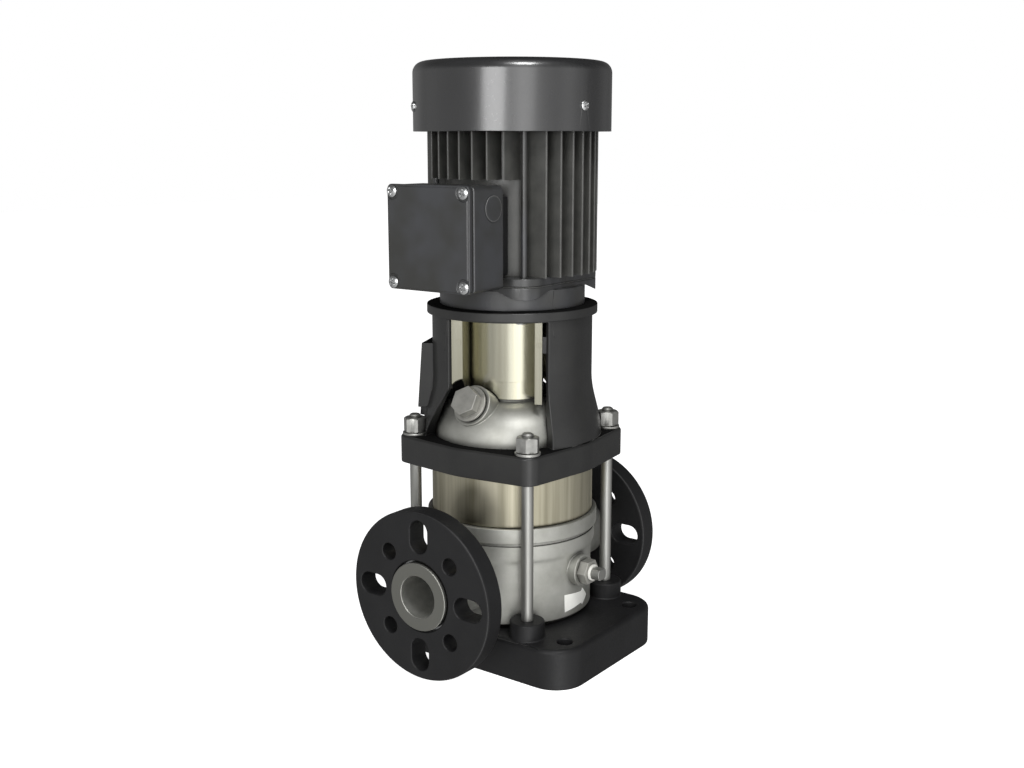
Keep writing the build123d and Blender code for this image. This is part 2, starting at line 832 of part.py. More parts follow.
with BuildPart() as gland_screws:
    with BuildSketch(Plane.XY.offset(head_top - gland_screw_depth)):
        with PolarLocations(gland_screw_circle / 2, gland_screw_count, start_angle=30):
            Circle(gland_screw_dia / 2)
    extrude(amount=gland_screw_depth + gland_height)
    with BuildSketch(Plane.XY.offset(head_top + gland_height)):
        with PolarLocations(gland_screw_circle / 2, gland_screw_count, start_angle=30):
            RegularPolygon(gland_screw_head_dia / 2, 6)
    extrude(amount=gland_screw_head)
gland_screws.part.label = "gland_screws"
export_step(gland_screws.part, "parts/gland_screws.step")

# Priming plug and the washer under its collar
with BuildPart() as priming_plug_washer:
    with BuildSketch(plug_plane):
        Circle(plug_washer_dia / 2)
        Circle(plug_thread_dia / 2 + plug_play, mode=Mode.SUBTRACT)
    extrude(amount=plug_washer_thick)
priming_plug_washer.part.label = "priming_plug_washer"
export_step(priming_plug_washer.part, "parts/priming_plug_washer.step")

with BuildPart() as priming_plug:
    with BuildSketch(plug_plane.offset(plug_washer_thick)):
        Circle(plug_thread_dia / 2)
    extrude(amount=-plug_washer_thick - plug_thread_length)
    with BuildSketch(plug_plane.offset(plug_washer_thick)):
        Circle(plug_collar_dia / 2)
    extrude(amount=plug_collar_thick)
    with BuildSketch(plug_plane.offset(plug_washer_thick + plug_collar_thick)):
        RegularPolygon(plug_flats / 2, 6, major_radius=False, rotation=90)
    extrude(amount=plug_hex_height)
priming_plug.part.label = "priming_plug"
export_step(priming_plug.part, "parts/priming_plug.step")

# Motor stool: foot over the head rim, flared wall with two windows, ring for the motor
window_angles = (window_middle, window_middle + 180)
with BuildPart() as motor_stool:
    with BuildSketch(Plane.XY.offset(foot_bottom)):
        Circle(foot_dia / 2)
        with GridLocations(rod_pitch, rod_pitch, 2, 2):
            Circle(foot_lobe_dia / 2)
        make_hull()
    extrude(amount=foot_height)
    fillet(motor_stool.faces().sort_by(Axis.Z)[-1].edges(), foot_edge_r)
    with BuildSketch(Plane.XZ):
        with BuildLine():
            Polyline((stool_r, flare_top), (stool_r, ring_bottom))
            Polyline((stool_r, ring_bottom), (stool_ring_dia / 2, ring_bottom))
            Polyline((stool_ring_dia / 2, ring_bottom), (stool_ring_dia / 2, stool_top))
            Polyline((stool_ring_dia / 2, stool_top), (0, stool_top))
            Polyline((0, stool_top), (0, foot_top))
            Polyline((0, foot_top), (stool_root_dia / 2, foot_top))
            Spline(
                (stool_root_dia / 2, foot_top),
                (stool_r, flare_top),
                tangents=((0, 1), (0, 1)),
            )
        make_face()
    revolve(axis=Axis.Z)
    with BuildSketch(upright_plane(pad_middle)):
        half_profile(
            (0, foot_top + pad_low),
            (pad_low_reach, foot_top + pad_low),
            (pad_high_reach, foot_top + pad_high),
            (0, foot_top + pad_high),
        )
    extrude(amount=pad_width / 2, both=True)
    with BuildSketch(Plane.XZ):
        half_profile(
            (0, foot_bottom),
            (head_rim_dia / 2 + foot_play, foot_bottom),
            (head_rim_dia / 2 + foot_play, rim_top),
            (head_r + foot_play, rim_top),
            (head_r + foot_play, foot_top),
            (stool_bore_r, flare_top),
            (stool_bore_r, stool_top - stool_top_plate),
            (motor_register_dia / 2, stool_top - stool_top_plate),
            (motor_register_dia / 2, stool_top),
            (0, stool_top),
        )
    revolve(axis=Axis.Z, mode=Mode.SUBTRACT)
    for middle in window_angles:
        edge_x = foot_dia * cos(radians(window_half_angle))
        edge_y = foot_dia * sin(radians(window_half_angle))
        with BuildSketch(turned_plane(middle, foot_top)):
            half_profile((0, 0), (edge_x, -edge_y), (edge_x, edge_y))
        extrude(amount=window_top - foot_top, mode=Mode.SUBTRACT)
    with BuildSketch(Plane.XZ):
        half_profile(
            (0, foot_top),
            (-plug_notch_low, foot_top),
            (-plug_notch_high, foot_top + plug_notch_height),
            (0, foot_top + plug_notch_height),
        )
    extrude(amount=foot_dia, mode=Mode.SUBTRACT)
    for middle in window_angles:
        with BuildSketch(turned_plane(middle, guard_top - lug_from_top)):
            for hand in (-1, 1):
                with Locations((lug_face - lug_depth / 2, hand * lug_offset)):
                    Rectangle(lug_depth, lug_width)
        extrude(amount=-lug_height)
        with BuildSketch(facing_plane(middle, lug_face)):
            for hand in (-1, 1):
                with Locations((hand * guard_screw_offset, guard_screw_z)):
                    Circle(guard_screw_dia / 2)
        extrude(amount=-guard_screw_depth, mode=Mode.SUBTRACT)
    with BuildSketch(Plane.XY.offset(foot_bottom)):
        with GridLocations(rod_pitch, rod_pitch, 2, 2):
            Circle(rod_hole_dia / 2)
    extrude(amount=foot_height, mode=Mode.SUBTRACT)
    with BuildSketch(Plane.XY.offset(foot_top)):
        with GridLocations(rod_pitch, rod_pitch, 2, 2):
            Circle(washer_dia / 2 + nut_pocket_play)
    extrude(amount=flare_top - foot_top, mode=Mode.SUBTRACT)
    with BuildSketch(Plane.XY.offset(stool_top - stool_top_plate)):
        with PolarLocations(motor_bolt_circle / 2, motor_bolt_count, start_angle=45):
            Circle(motor_bolt_dia / 2)
    extrude(amount=stool_top_plate, mode=Mode.SUBTRACT)
motor_stool.part.label = "motor_stool"
export_step(motor_stool.part, "parts/motor_stool.step")

# Coupling guards: bent sheet, a curved middle between two flat wings, one per window
guard_arc_r = guard_arc_dia / 2
guard_joggle_top = guard_bottom + guard_joggle_height
guard_levels = (
    (guard_arc_r - guard_joggle, guard_bottom, guard_joggle_top),
    (guard_arc_r, guard_joggle_top - guard_sheet, guard_top),
)
guard_names = ("coupling_guard_front", "coupling_guard_rear")
cut_planes = (plug_plane, plug_plane_behind)
for middle, guard_name, cut_plane in zip(window_angles, guard_names, cut_planes):
    with BuildPart() as coupling_guard:
        for arc_r, level_bottom, level_top in guard_levels:
            arc_end = sqrt(arc_r**2 - guard_wing_inner**2)
            with BuildSketch(turned_plane(middle, level_bottom)):
                with BuildLine():
                    Line((guard_wing_plane, -guard_wing_outer), (guard_wing_plane, -guard_wing_inner))
                    Line((guard_wing_plane, -guard_wing_inner), (arc_end, -guard_wing_inner))
                    ThreePointArc((arc_end, -guard_wing_inner), (arc_r, 0), (arc_end, guard_wing_inner))
                    Line((arc_end, guard_wing_inner), (guard_wing_plane, guard_wing_inner))
                    Line((guard_wing_plane, guard_wing_inner), (guard_wing_plane, guard_wing_short))
                trace(line_width=guard_sheet)
            extrude(amount=level_top - level_bottom)
        with BuildSketch(facing_plane(middle, guard_wing_plane + guard_sheet)):
            with Locations((-(guard_wing_outer + guard_sheet), guard_bottom)):
                Rectangle(
                    guard_wing_outer + guard_sheet - guard_wing_inner + guard_sheet,
                    guard_notch_height,
                    align=(Align.MIN, Align.MIN),
                )
        extrude(amount=-2 * guard_sheet, mode=Mode.SUBTRACT)
        with BuildSketch(facing_plane(middle, guard_wing_plane + guard_sheet)):
            for hand in (-1, 1):
                with Locations((hand * guard_screw_offset, guard_screw_z)):
                    Circle(guard_screw_dia / 2)
        extrude(amount=-2 * guard_sheet, mode=Mode.SUBTRACT)
        with BuildSketch(cut_plane):
            Circle(plug_boss_dia / 2 + plug_cut_play)
        extrude(amount=plug_boss_dia, both=True, mode=Mode.SUBTRACT)
    coupling_guard.part.label = guard_name
    export_step(coupling_guard.part, f"parts/{guard_name}.step")

with BuildPart() as guard_screws:
    for middle in window_angles:
        with BuildSketch(facing_plane(middle, guard_wing_plane + guard_sheet / 2)):
            for hand in (-1, 1):
                with Locations((hand * guard_screw_offset, guard_screw_z)):
                    Circle(guard_screw_dia / 2)
        extrude(amount=-guard_screw_depth - guard_sheet)
        with BuildSketch(facing_plane(middle, guard_wing_plane + guard_sheet / 2)):
            for hand in (-1, 1):
                with Locations((hand * guard_screw_offset, guard_screw_z)):
                    Circle(guard_screw_head_dia / 2)
        extrude(amount=guard_screw_head)
guard_screws.part.label = "guard_screws"
export_step(guard_screws.part, "parts/guard_screws.step")

# Tie rods with washers and bevelled nuts
with BuildPart() as tie_rods:
    with BuildSketch(Plane.XY.offset(boss_top - rod_seat_depth)):
        with GridLocations(rod_pitch, rod_pitch, 2, 2):
            Circle(rod_dia / 2)
    extrude(amount=nut_top + rod_end_above_nut - boss_top + rod_seat_depth)
tie_rods.part.label = "tie_rods"
export_step(tie_rods.part, "parts/tie_rods.step")

with BuildPart() as tie_rod_washers:
    with BuildSketch(Plane.XY.offset(foot_top)):
        with GridLocations(rod_pitch, rod_pitch, 2, 2):
            Circle(washer_dia / 2)
            Circle(rod_dia / 2, mode=Mode.SUBTRACT)
    extrude(amount=washer_thick)
tie_rod_washers.part.label = "tie_rod_washers"
export_step(tie_rod_washers.part, "parts/tie_rod_washers.step")

nut_corner_r = nut_across_flats / sqrt(3)
with BuildPart() as one_nut:
    with BuildSketch(Plane.XY.offset(nut_seat)):
        RegularPolygon(nut_across_flats / 2, 6, major_radius=False)
    extrude(amount=nut_height)
    with BuildSketch(Plane.XZ):
        half_profile(
            (0, nut_seat),
            (nut_corner_r - nut_bevel, nut_seat),
            (nut_corner_r, nut_seat + nut_bevel / 2),
            (nut_corner_r, nut_top - nut_bevel / 2),
            (nut_corner_r - nut_bevel, nut_top),
            (0, nut_top),
        )
    revolve(axis=Axis.Z, mode=Mode.INTERSECT)
    with BuildSketch(Plane.XY.offset(nut_seat)):
        Circle(rod_dia / 2)
    extrude(amount=nut_height, mode=Mode.SUBTRACT)

with BuildPart() as tie_rod_nuts:
    with GridLocations(rod_pitch, rod_pitch, 2, 2):
        add(one_nut.part)
tie_rod_nuts.part.label = "tie_rod_nuts"
export_step(tie_rod_nuts.part, "parts/tie_rod_nuts.step")

# Pump shaft, from below the spider to the middle of the coupling
coupling_top = stool_top - coupling_below_top
coupling_bottom = coupling_top - coupling_length
motor_shaft_bottom = stool_top - motor_shaft_end
pump_shaft_top = motor_shaft_bottom - coupling_split
with BuildPart() as pump_shaft:
    with BuildSketch(Plane.XY.offset(partition_top - shaft_below_spider)):
        Circle(shaft_r)
    extrude(amount=pump_shaft_top - partition_top + shaft_below_spider)
pump_shaft.part.label = "pump_shaft"
export_step(pump_shaft.part, "parts/pump_shaft.step")

# Coupling: two half shells clamped on both shafts by four screws
coupling_r = coupling_dia / 2
screw_heights = [
    (coupling_top + coupling_bottom + step * coupling_screw_pitch) / 2 for step in (-1, 1)
]
screw_places = [(x, z) for x in (-coupling_screw_offset, coupling_screw_offset) for z in screw_heights]
with BuildPart() as coupling_halves:
    with BuildSketch(Plane.XY.offset(coupling_bottom)):
        Circle(coupling_r)
        Circle(shaft_r, mode=Mode.SUBTRACT)
        Rectangle(coupling_dia, coupling_split, mode=Mode.SUBTRACT)
    extrude(amount=coupling_length)
    with BuildSketch(Plane.XY.offset(motor_shaft_bottom)):
        Circle(motor_shaft_dia / 2)
    extrude(amount=coupling_length, mode=Mode.SUBTRACT)
    for hand in (-1, 1):
        for x, z in screw_places:
            with BuildSketch(side_plane(hand, coupling_r - coupling_flat_depth)):
                with Locations((x, z)):
                    Circle(coupling_screw_head_dia / 2 + shaft_gap)
            extrude(amount=hand * coupling_dia, mode=Mode.SUBTRACT)
    for x, z in screw_places:
        with BuildSketch(side_plane(1, coupling_r)):
            with Locations((x, z)):
                Circle(coupling_screw_dia / 2)
        extrude(amount=-coupling_dia, mode=Mode.SUBTRACT)
coupling_halves.part.label = "coupling_halves"
export_step(coupling_halves.part, "parts/coupling_halves.step")

screw_seat = coupling_r - coupling_flat_depth
with BuildPart() as coupling_screws:
    for x, z in screw_places:
        with BuildSketch(side_plane(1, screw_seat)):
            with Locations((x, z)):
                Circle(coupling_screw_dia / 2)
        extrude(amount=-2 * screw_seat)
        with BuildSketch(side_plane(1, screw_seat)):
            with Locations((x, z)):
                Circle(coupling_screw_head_dia / 2)
        extrude(amount=coupling_screw_head)
coupling_screws.part.label = "coupling_screws"
export_step(coupling_screws.part, "parts/coupling_screws.step")

# Drive end shield: a drum on the stool ring, a square body with undercut corners
bearing_bottom = stool_top + bearing_from_foot
undercut_top = stool_top + shield_drum_height
with BuildPart() as drive_end_shield:
    with BuildSketch(Plane.XY.offset(stool_top)):
        RectangleRounded(shield_square, shield_square, shield_corner_r)
    extrude(amount=shield_height)
    with BuildSketch(Plane.XZ):
        half_profile(
            (shield_drum_dia / 2, stool_top),
            (shield_drum_dia / 2 + 2 * undercut_reach, stool_top),
            (shield_drum_dia / 2 + 2 * undercut_reach, undercut_top - 2 * undercut_rise),
            (shield_drum_dia / 2, undercut_top),
        )
    revolve(axis=Axis.Z, mode=Mode.SUBTRACT)
    with BuildSketch(Plane.XY.offset(stool_top)):
        Circle(shield_drum_dia / 2)
    extrude(amount=shield_drum_height)
    with BuildSketch(Plane.XY.offset(stool_top + shield_line_height)):
        RectangleRounded(shield_square, shield_square, shield_corner_r)
        offset(amount=-shield_line_depth, mode=Mode.SUBTRACT)
    extrude(amount=shield_line_width, mode=Mode.SUBTRACT)
    with BuildSketch(Plane.XY.offset(stool_top - motor_register_height)):
        Circle(motor_register_dia / 2)
    extrude(amount=motor_register_height)
    with BuildSketch(Plane.XY.offset(bearing_bottom)):
        Circle(bearing_dia / 2)
    extrude(amount=shield_height, mode=Mode.SUBTRACT)
    with BuildSketch(Plane.XY.offset(bearing_bottom + bearing_width)):
        Circle(stator_core_dia / 2 - stator_shell_wall)
    extrude(amount=shield_height, mode=Mode.SUBTRACT)
    with BuildSketch(Plane.XY.offset(stool_top - motor_register_height)):
        Circle(motor_bearing_bore / 2 + shaft_gap)
    extrude(amount=shield_height, mode=Mode.SUBTRACT)
    with BuildSketch(Plane.XY.offset(stool_top)):
        with PolarLocations(motor_bolt_circle / 2, motor_bolt_count, start_angle=45):
            Circle(motor_bolt_dia / 2)
    extrude(amount=motor_bolt_depth, mode=Mode.SUBTRACT)
    with BuildSketch(Plane.XY.offset(shield_top)):
        with GridLocations(stay_pitch, stay_pitch, 2, 2):
            Circle(stay_dia / 2)
    extrude(amount=-stay_depth, mode=Mode.SUBTRACT)
drive_end_shield.part.label = "drive_end_shield"
export_step(drive_end_shield.part, "parts/drive_end_shield.step")

with BuildPart() as motor_bolts:
    with BuildSketch(Plane.XY.offset(stool_top - stool_top_plate)):
        with PolarLocations(motor_bolt_circle / 2, motor_bolt_count, start_angle=45):
            Circle(motor_bolt_dia / 2)
    extrude(amount=stool_top_plate + motor_bolt_depth)
    with BuildSketch(Plane.XY.offset(stool_top - stool_top_plate)):
        with PolarLocations(motor_bolt_circle / 2, motor_bolt_count, start_angle=45):
            RegularPolygon(motor_bolt_head_dia / 2, 6)
    extrude(amount=-motor_bolt_head)
motor_bolts.part.label = "motor_bolts"
export_step(motor_bolts.part, "parts/motor_bolts.step")

# Stator housing: a shell with straight fins on four sides, all cut to one circle
stator_shell_r = stator_core_dia / 2
stator_bore_r = stator_shell_r - stator_shell_wall
fin_reach = fin_circle_dia / 2
seat_middle = box_bottom + box_height / 2
with BuildPart() as stator_housing:
    with BuildSketch(Plane.XY.offset(shield_top)):
        Circle(stator_shell_r)
        with GridLocations(fin_pitch, 0, fin_count, 1):
            Rectangle(fin_thick, fin_circle_dia)
        with GridLocations(0, fin_pitch, 1, fin_count):
            Rectangle(fin_circle_dia, fin_thick)
        Circle(fin_reach, mode=Mode.INTERSECT)
    extrude(amount=stator_height)
    with BuildSketch(side_plane(1, stator_shell_r - stator_shell_wall / 2)):
        with Locations((0, seat_middle)):
            Rectangle(box_width + 2 * fin_thick, box_height + 2 * fin_thick)
    extrude(amount=fin_reach, mode=Mode.SUBTRACT)
    with BuildSketch(side_plane(1, stator_bore_r)):
        with Locations((0, seat_middle)):
            Rectangle(pad_seat_width, pad_seat_height)
    extrude(amount=box_back - stator_bore_r)
    with BuildSketch(Plane.XY.offset(shield_top)):
        Circle(stator_bore_r)
    extrude(amount=stator_height, mode=Mode.SUBTRACT)
    with BuildSketch(side_plane(1, stator_bore_r - stator_shell_wall)):
        with Locations((0, seat_middle)):
            Circle(cable_hole_dia / 2)
    extrude(amount=box_back, mode=Mode.SUBTRACT)
stator_housing.part.label = "stator_housing"
export_step(stator_housing.part, "parts/stator_housing.step")

# Stator core, its end windings and the rotor core inside
rotor_r = rotor_dia / 2
with BuildPart() as stator_core:
    with BuildSketch(Plane.XY.offset(core_bottom)):
        Circle(stator_bore_r)
        Circle(rotor_r + air_gap, mode=Mode.SUBTRACT)
    extrude(amount=lamination_height)
stator_core.part.label = "stator_core"
export_step(stator_core.part, "parts/stator_core.step")

with BuildPart() as end_windings:
    for height in (core_bottom - winding_height, core_top):
        with BuildSketch(Plane.XY.offset(height)):
            Circle(rotor_r + air_gap + winding_ring)
            Circle(rotor_r + 2 * air_gap, mode=Mode.SUBTRACT)
        extrude(amount=winding_height)
end_windings.part.label = "end_windings"
export_step(end_windings.part, "parts/end_windings.step")

with BuildPart() as rotor_core:
    with BuildSketch(Plane.XY.offset(core_bottom)):
        Circle(rotor_r)
        Circle(rotor_shaft_dia / 2, mode=Mode.SUBTRACT)
    extrude(amount=lamination_height)
rotor_core.part.label = "rotor_core"
export_step(rotor_core.part, "parts/rotor_core.step")

# Motor shaft: stepped for the coupling, the two bearings, the rotor and the fan
upper_bearing_bottom = stator_top
upper_bearing_top = upper_bearing_bottom + bearing_width
lower_bearing_top = bearing_bottom + bearing_width
with BuildPart() as motor_shaft:
    with BuildSketch(Plane.XZ):
        half_profile(
            (0, motor_shaft_bottom),
            (motor_shaft_dia / 2, motor_shaft_bottom),
            (motor_shaft_dia / 2, bearing_bottom),
            (motor_bearing_bore / 2, bearing_bottom),
            (motor_bearing_bore / 2, lower_bearing_top),
            (rotor_shaft_dia / 2, lower_bearing_top),
            (rotor_shaft_dia / 2, upper_bearing_bottom),
            (motor_bearing_bore / 2, upper_bearing_bottom),
            (motor_bearing_bore / 2, upper_bearing_top),
            (fan_shaft_dia / 2, upper_bearing_top),
            (fan_shaft_dia / 2, upper_bearing_top + fan_shaft_end),
            (0, upper_bearing_top + fan_shaft_end),
        )
    revolve(axis=Axis.Z)
motor_shaft.part.label = "motor_shaft"
export_step(motor_shaft.part, "parts/motor_shaft.step")

# Sealed ball bearings: the outer rings with their seals stay, the inner rings turn
outer_ring_r = bearing_dia / 2 - bearing_ring
inner_ring_r = motor_bearing_bore / 2 + bearing_ring
ball_track_width = bearing_width - 2 * bearing_seal
bearing_bottoms = (bearing_bottom, upper_bearing_bottom)
with BuildPart() as bearing_outer_rings:
    for bottom in bearing_bottoms:
        with BuildSketch(Plane.XY.offset(bottom)):
            Circle(bearing_dia / 2)
            Circle(inner_ring_r + shaft_gap, mode=Mode.SUBTRACT)
        extrude(amount=bearing_width)
        with BuildSketch(Plane.XY.offset(bottom + bearing_seal)):
            Circle(outer_ring_r)
        extrude(amount=ball_track_width, mode=Mode.SUBTRACT)
bearing_outer_rings.part.label = "bearing_outer_rings"
export_step(bearing_outer_rings.part, "parts/bearing_outer_rings.step")

with BuildPart() as bearing_inner_rings:
    for bottom in bearing_bottoms:
        with BuildSketch(Plane.XY.offset(bottom)):
            Circle(inner_ring_r)
            Circle(motor_bearing_bore / 2, mode=Mode.SUBTRACT)
        extrude(amount=bearing_width)
bearing_inner_rings.part.label = "bearing_inner_rings"
export_step(bearing_inner_rings.part, "parts/bearing_inner_rings.step")

# Rear end shield with three lugs that hold the fan cover
with BuildPart() as rear_end_shield:
    with BuildSketch(Plane.XY.offset(stator_top)):
        Circle(rear_shield_dia / 2)
    extrude(amount=rear_shield_height)
    for angle in cover_screw_angles:
        with BuildSketch(turned_plane(angle, stator_top)):
            with Locations((cover_dia / 2 - cover_wall, 0)):
                Rectangle(rear_lug_depth, rear_lug_width, align=(Align.MAX, Align.CENTER))
        extrude(amount=cover_screw_height + rear_lug_above_screw)
    with BuildSketch(Plane.XY.offset(stator_top)):
        Circle(bearing_dia / 2)
    extrude(amount=bearing_width, mode=Mode.SUBTRACT)
    with BuildSketch(Plane.XY.offset(stator_top)):
        with GridLocations(stay_pitch, stay_pitch, 2, 2):
            Circle(stay_dia / 2)
    extrude(amount=rear_shield_height, mode=Mode.SUBTRACT)
    for angle in cover_screw_angles:
        with BuildSketch(facing_plane(angle, cover_dia / 2 - cover_wall)):
            with Locations((0, stator_top + cover_screw_height)):
                Circle(cover_screw_dia / 2)
        extrude(amount=-cover_screw_depth, mode=Mode.SUBTRACT)
    with BuildSketch(Plane.XZ):
        half_profile(
            (0, stator_top),
            (cover_dia / 2 - cover_wall, stator_top),
            (cover_dia / 2 - cover_wall, cover_top),
            (0, cover_top),
        )
    revolve(axis=Axis.Z, mode=Mode.INTERSECT)
rear_end_shield.part.label = "rear_end_shield"
export_step(rear_end_shield.part, "parts/rear_end_shield.step")

# Stay bolts through both end shields, in the corners between the fins
with BuildPart() as stay_bolts:
    with BuildSketch(Plane.XY.offset(shield_top - stay_depth)):
        with GridLocations(stay_pitch, stay_pitch, 2, 2):
            Circle(stay_dia / 2)
    extrude(amount=rear_top - shield_top + stay_depth)
    with BuildSketch(Plane.XY.offset(rear_top)):
        with GridLocations(stay_pitch, stay_pitch, 2, 2):
            RegularPolygon(stay_head_dia / 2, 6)
    extrude(amount=stay_head)
stay_bolts.part.label = "stay_bolts"
export_step(stay_bolts.part, "parts/stay_bolts.step")

# Cooling fan: a disc with straight blades on the end of the motor shaft
fan_bottom = rear_top + fan_above_shield
with BuildPart() as cooling_fan:
    with BuildSketch(Plane.XY.offset(fan_bottom)):
        Circle(fan_dia / 2)
    extrude(amount=fan_disc)
    with BuildSketch(Plane.XY.offset(fan_bottom)):
        Circle(fan_hub_dia / 2)
        with PolarLocations(fan_dia / 4, fan_blade_count):
            Rectangle(fan_dia / 2 - fan_blade_wall, fan_blade_wall)
    extrude(amount=fan_height)
    with BuildSketch(Plane.XY.offset(fan_bottom)):
        Circle(fan_shaft_dia / 2)
    extrude(amount=fan_height, mode=Mode.SUBTRACT)
cooling_fan.part.label = "cooling_fan"
export_step(cooling_fan.part, "parts/cooling_fan.step")

# Fan cover: a drawn cup with a rounded shoulder and a ring of air slots on top
cover_r = cover_dia / 2
cover_bore_r = cover_r - cover_wall
cover_bottom = stator_top
inner_edge_r = cover_edge_r - cover_wall
with BuildPart() as fan_cover:
    with BuildSketch(Plane.XZ):
        with BuildLine():
            Polyline((0, cover_top), (0, cover_top - cover_wall))
            Polyline((0, cover_top - cover_wall), (cover_bore_r - inner_edge_r, cover_top - cover_wall))
            RadiusArc(
                (cover_bore_r - inner_edge_r, cover_top - cover_wall),
                (cover_bore_r, cover_top - cover_edge_r),
                inner_edge_r,
            )
            Polyline(
                (cover_bore_r, cover_top - cover_edge_r),
                (cover_bore_r, cover_bottom),
                (cover_r, cover_bottom),
                (cover_r, cover_top - cover_edge_r),
            )
            RadiusArc(
                (cover_r, cover_top - cover_edge_r),
                (cover_r - cover_edge_r, cover_top),
                -cover_edge_r,
            )
            Line((cover_r - cover_edge_r, cover_top), (0, cover_top))
        make_face()
    revolve(axis=Axis.Z)
    with BuildSketch(Plane.XY.offset(cover_top)):
        with PolarLocations((grille_inner_dia + grille_outer_dia) / 4, grille_slot_count):
            Rectangle((grille_outer_dia - grille_inner_dia) / 2, grille_slot_width)
    extrude(amount=-cover_wall, mode=Mode.SUBTRACT)
    for angle in cover_screw_angles:
        with BuildSketch(facing_plane(angle, cover_r)):
            with Locations((0, stator_top + cover_screw_height)):
                Circle(cover_screw_dia / 2)
        extrude(amount=-cover_screw_depth, mode=Mode.SUBTRACT)
fan_cover.part.label = "fan_cover"
export_step(fan_cover.part, "parts/fan_cover.step")

with BuildPart() as fan_cover_screws:
    for angle in cover_screw_angles:
        with BuildSketch(facing_plane(angle, cover_r)):
            with Locations((0, stator_top + cover_screw_height)):
                Circle(cover_screw_dia / 2)
        extrude(amount=-cover_screw_depth - cover_wall)
        with BuildSketch(facing_plane(angle, cover_r)):
            with Locations((0, stator_top + cover_screw_height)):
                Circle(cover_screw_head_dia / 2)
        extrude(amount=cover_screw_head)
fan_cover_screws.part.label = "fan_cover_screws"
export_step(fan_cover_screws.part, "parts/fan_cover_screws.step")

# Terminal box: an open case on the side of the motor, with posts for the lid screws
knockout_z = box_bottom + knockout_above_bottom
knockout_y = -(box_face - knockout_from_face)
with BuildPart() as terminal_box:
    with BuildSketch(side_plane(1, box_back)):
        with Locations((0, seat_middle)):
            RectangleRounded(box_width, box_height, box_corner_r)
    extrude(amount=box_face - box_back)
    with BuildSketch(side_plane(1, box_back + box_wall)):
        with Locations((0, seat_middle)):
            RectangleRounded(box_width - 2 * box_wall, box_height - 2 * box_wall, box_corner_r / 2)
            with GridLocations(lid_screw_pitch, lid_screw_pitch, 2, 2):
                Circle(lid_post_dia / 2, mode=Mode.SUBTRACT)
    extrude(amount=box_face - box_back, mode=Mode.SUBTRACT)
    with BuildSketch(side_plane(1, box_face)):
        with Locations((0, seat_middle)):
            with GridLocations(lid_screw_pitch, lid_screw_pitch, 2, 2):
                Circle(lid_screw_dia / 2)
    extrude(amount=-lid_screw_depth, mode=Mode.SUBTRACT)
    with BuildSketch(Plane.YZ.offset(-box_width)):
        with Locations((knockout_y, knockout_z)):
            Circle(knockout_dia / 2)
    extrude(amount=2 * box_width, mode=Mode.SUBTRACT)
    with BuildSketch(side_plane(1, box_back)):
        with Locations((0, seat_middle)):
            Circle(cable_hole_dia / 2)
    extrude(amount=box_wall, mode=Mode.SUBTRACT)
terminal_box.part.label = "terminal_box"
export_step(terminal_box.part, "parts/terminal_box.step")

with BuildPart() as terminal_box_gasket:
    with BuildSketch(side_plane(1, box_face)):
        with Locations((0, seat_middle)):
            Rectangle(box_width - box_wall, box_height - box_wall)
            Rectangle(box_width - 3 * box_wall, box_height - 3 * box_wall, mode=Mode.SUBTRACT)
            with GridLocations(lid_screw_pitch, lid_screw_pitch, 2, 2):
                Circle(lid_post_dia / 2)
                Circle(lid_screw_dia / 2, mode=Mode.SUBTRACT)
    extrude(amount=gasket_thick)
terminal_box_gasket.part.label = "terminal_box_gasket"
export_step(terminal_box_gasket.part, "parts/terminal_box_gasket.step")

lid_back = box_face + gasket_thick
lid_front = lid_back + lid_thick
with BuildPart() as terminal_box_lid:
    with BuildSketch(side_plane(1, lid_back)):
        with Locations((0, seat_middle)):
            RectangleRounded(lid_size, lid_size, box_corner_r)
            with GridLocations(lid_screw_pitch, lid_screw_pitch, 2, 2):
                Circle(lid_screw_dia / 2, mode=Mode.SUBTRACT)
    extrude(amount=lid_thick)
    with BuildSketch(side_plane(1, lid_front)):
        with Locations((0, seat_middle)):
            Rectangle(lid_size - 2 * lid_border, lid_size - 2 * lid_border)
            with GridLocations(lid_screw_pitch, lid_screw_pitch, 2, 2):
                Circle(lid_notch_dia / 2, mode=Mode.SUBTRACT)
    extrude(amount=lid_panel_rise)
terminal_box_lid.part.label = "terminal_box_lid"
export_step(terminal_box_lid.part, "parts/terminal_box_lid.step")

with BuildPart() as lid_screws:
    with BuildSketch(side_plane(1, box_face - lid_screw_depth)):
        with Locations((0, seat_middle)):
            with GridLocations(lid_screw_pitch, lid_screw_pitch, 2, 2):
                Circle(lid_screw_dia / 2)
    extrude(amount=lid_front - box_face + lid_screw_depth)
    with BuildSketch(side_plane(1, lid_front)):
        with Locations((0, seat_middle)):
            with GridLocations(lid_screw_pitch, lid_screw_pitch, 2, 2):
                Circle(lid_screw_head_dia / 2)
    extrude(amount=lid_screw_head)
lid_screws.part.label = "lid_screws"
export_step(lid_screws.part, "parts/lid_screws.step")

# Blanking plugs in the two cable entries
with BuildPart() as cable_entry_plugs:
    for hand in (-1, 1):
        with BuildSketch(Plane.YZ.offset(hand * box_width / 2)):
            with Locations((knockout_y, knockout_z)):
                Circle(knockout_dia / 2)
        extrude(amount=-hand * box_wall)
        with BuildSketch(Plane.YZ.offset(hand * box_width / 2)):
            with Locations((knockout_y, knockout_z)):
                Circle(knockout_flange_dia / 2)
        extrude(amount=hand * knockout_flange)
cable_entry_plugs.part.label = "cable_entry_plugs"
export_step(cable_entry_plugs.part, "parts/cable_entry_plugs.step")

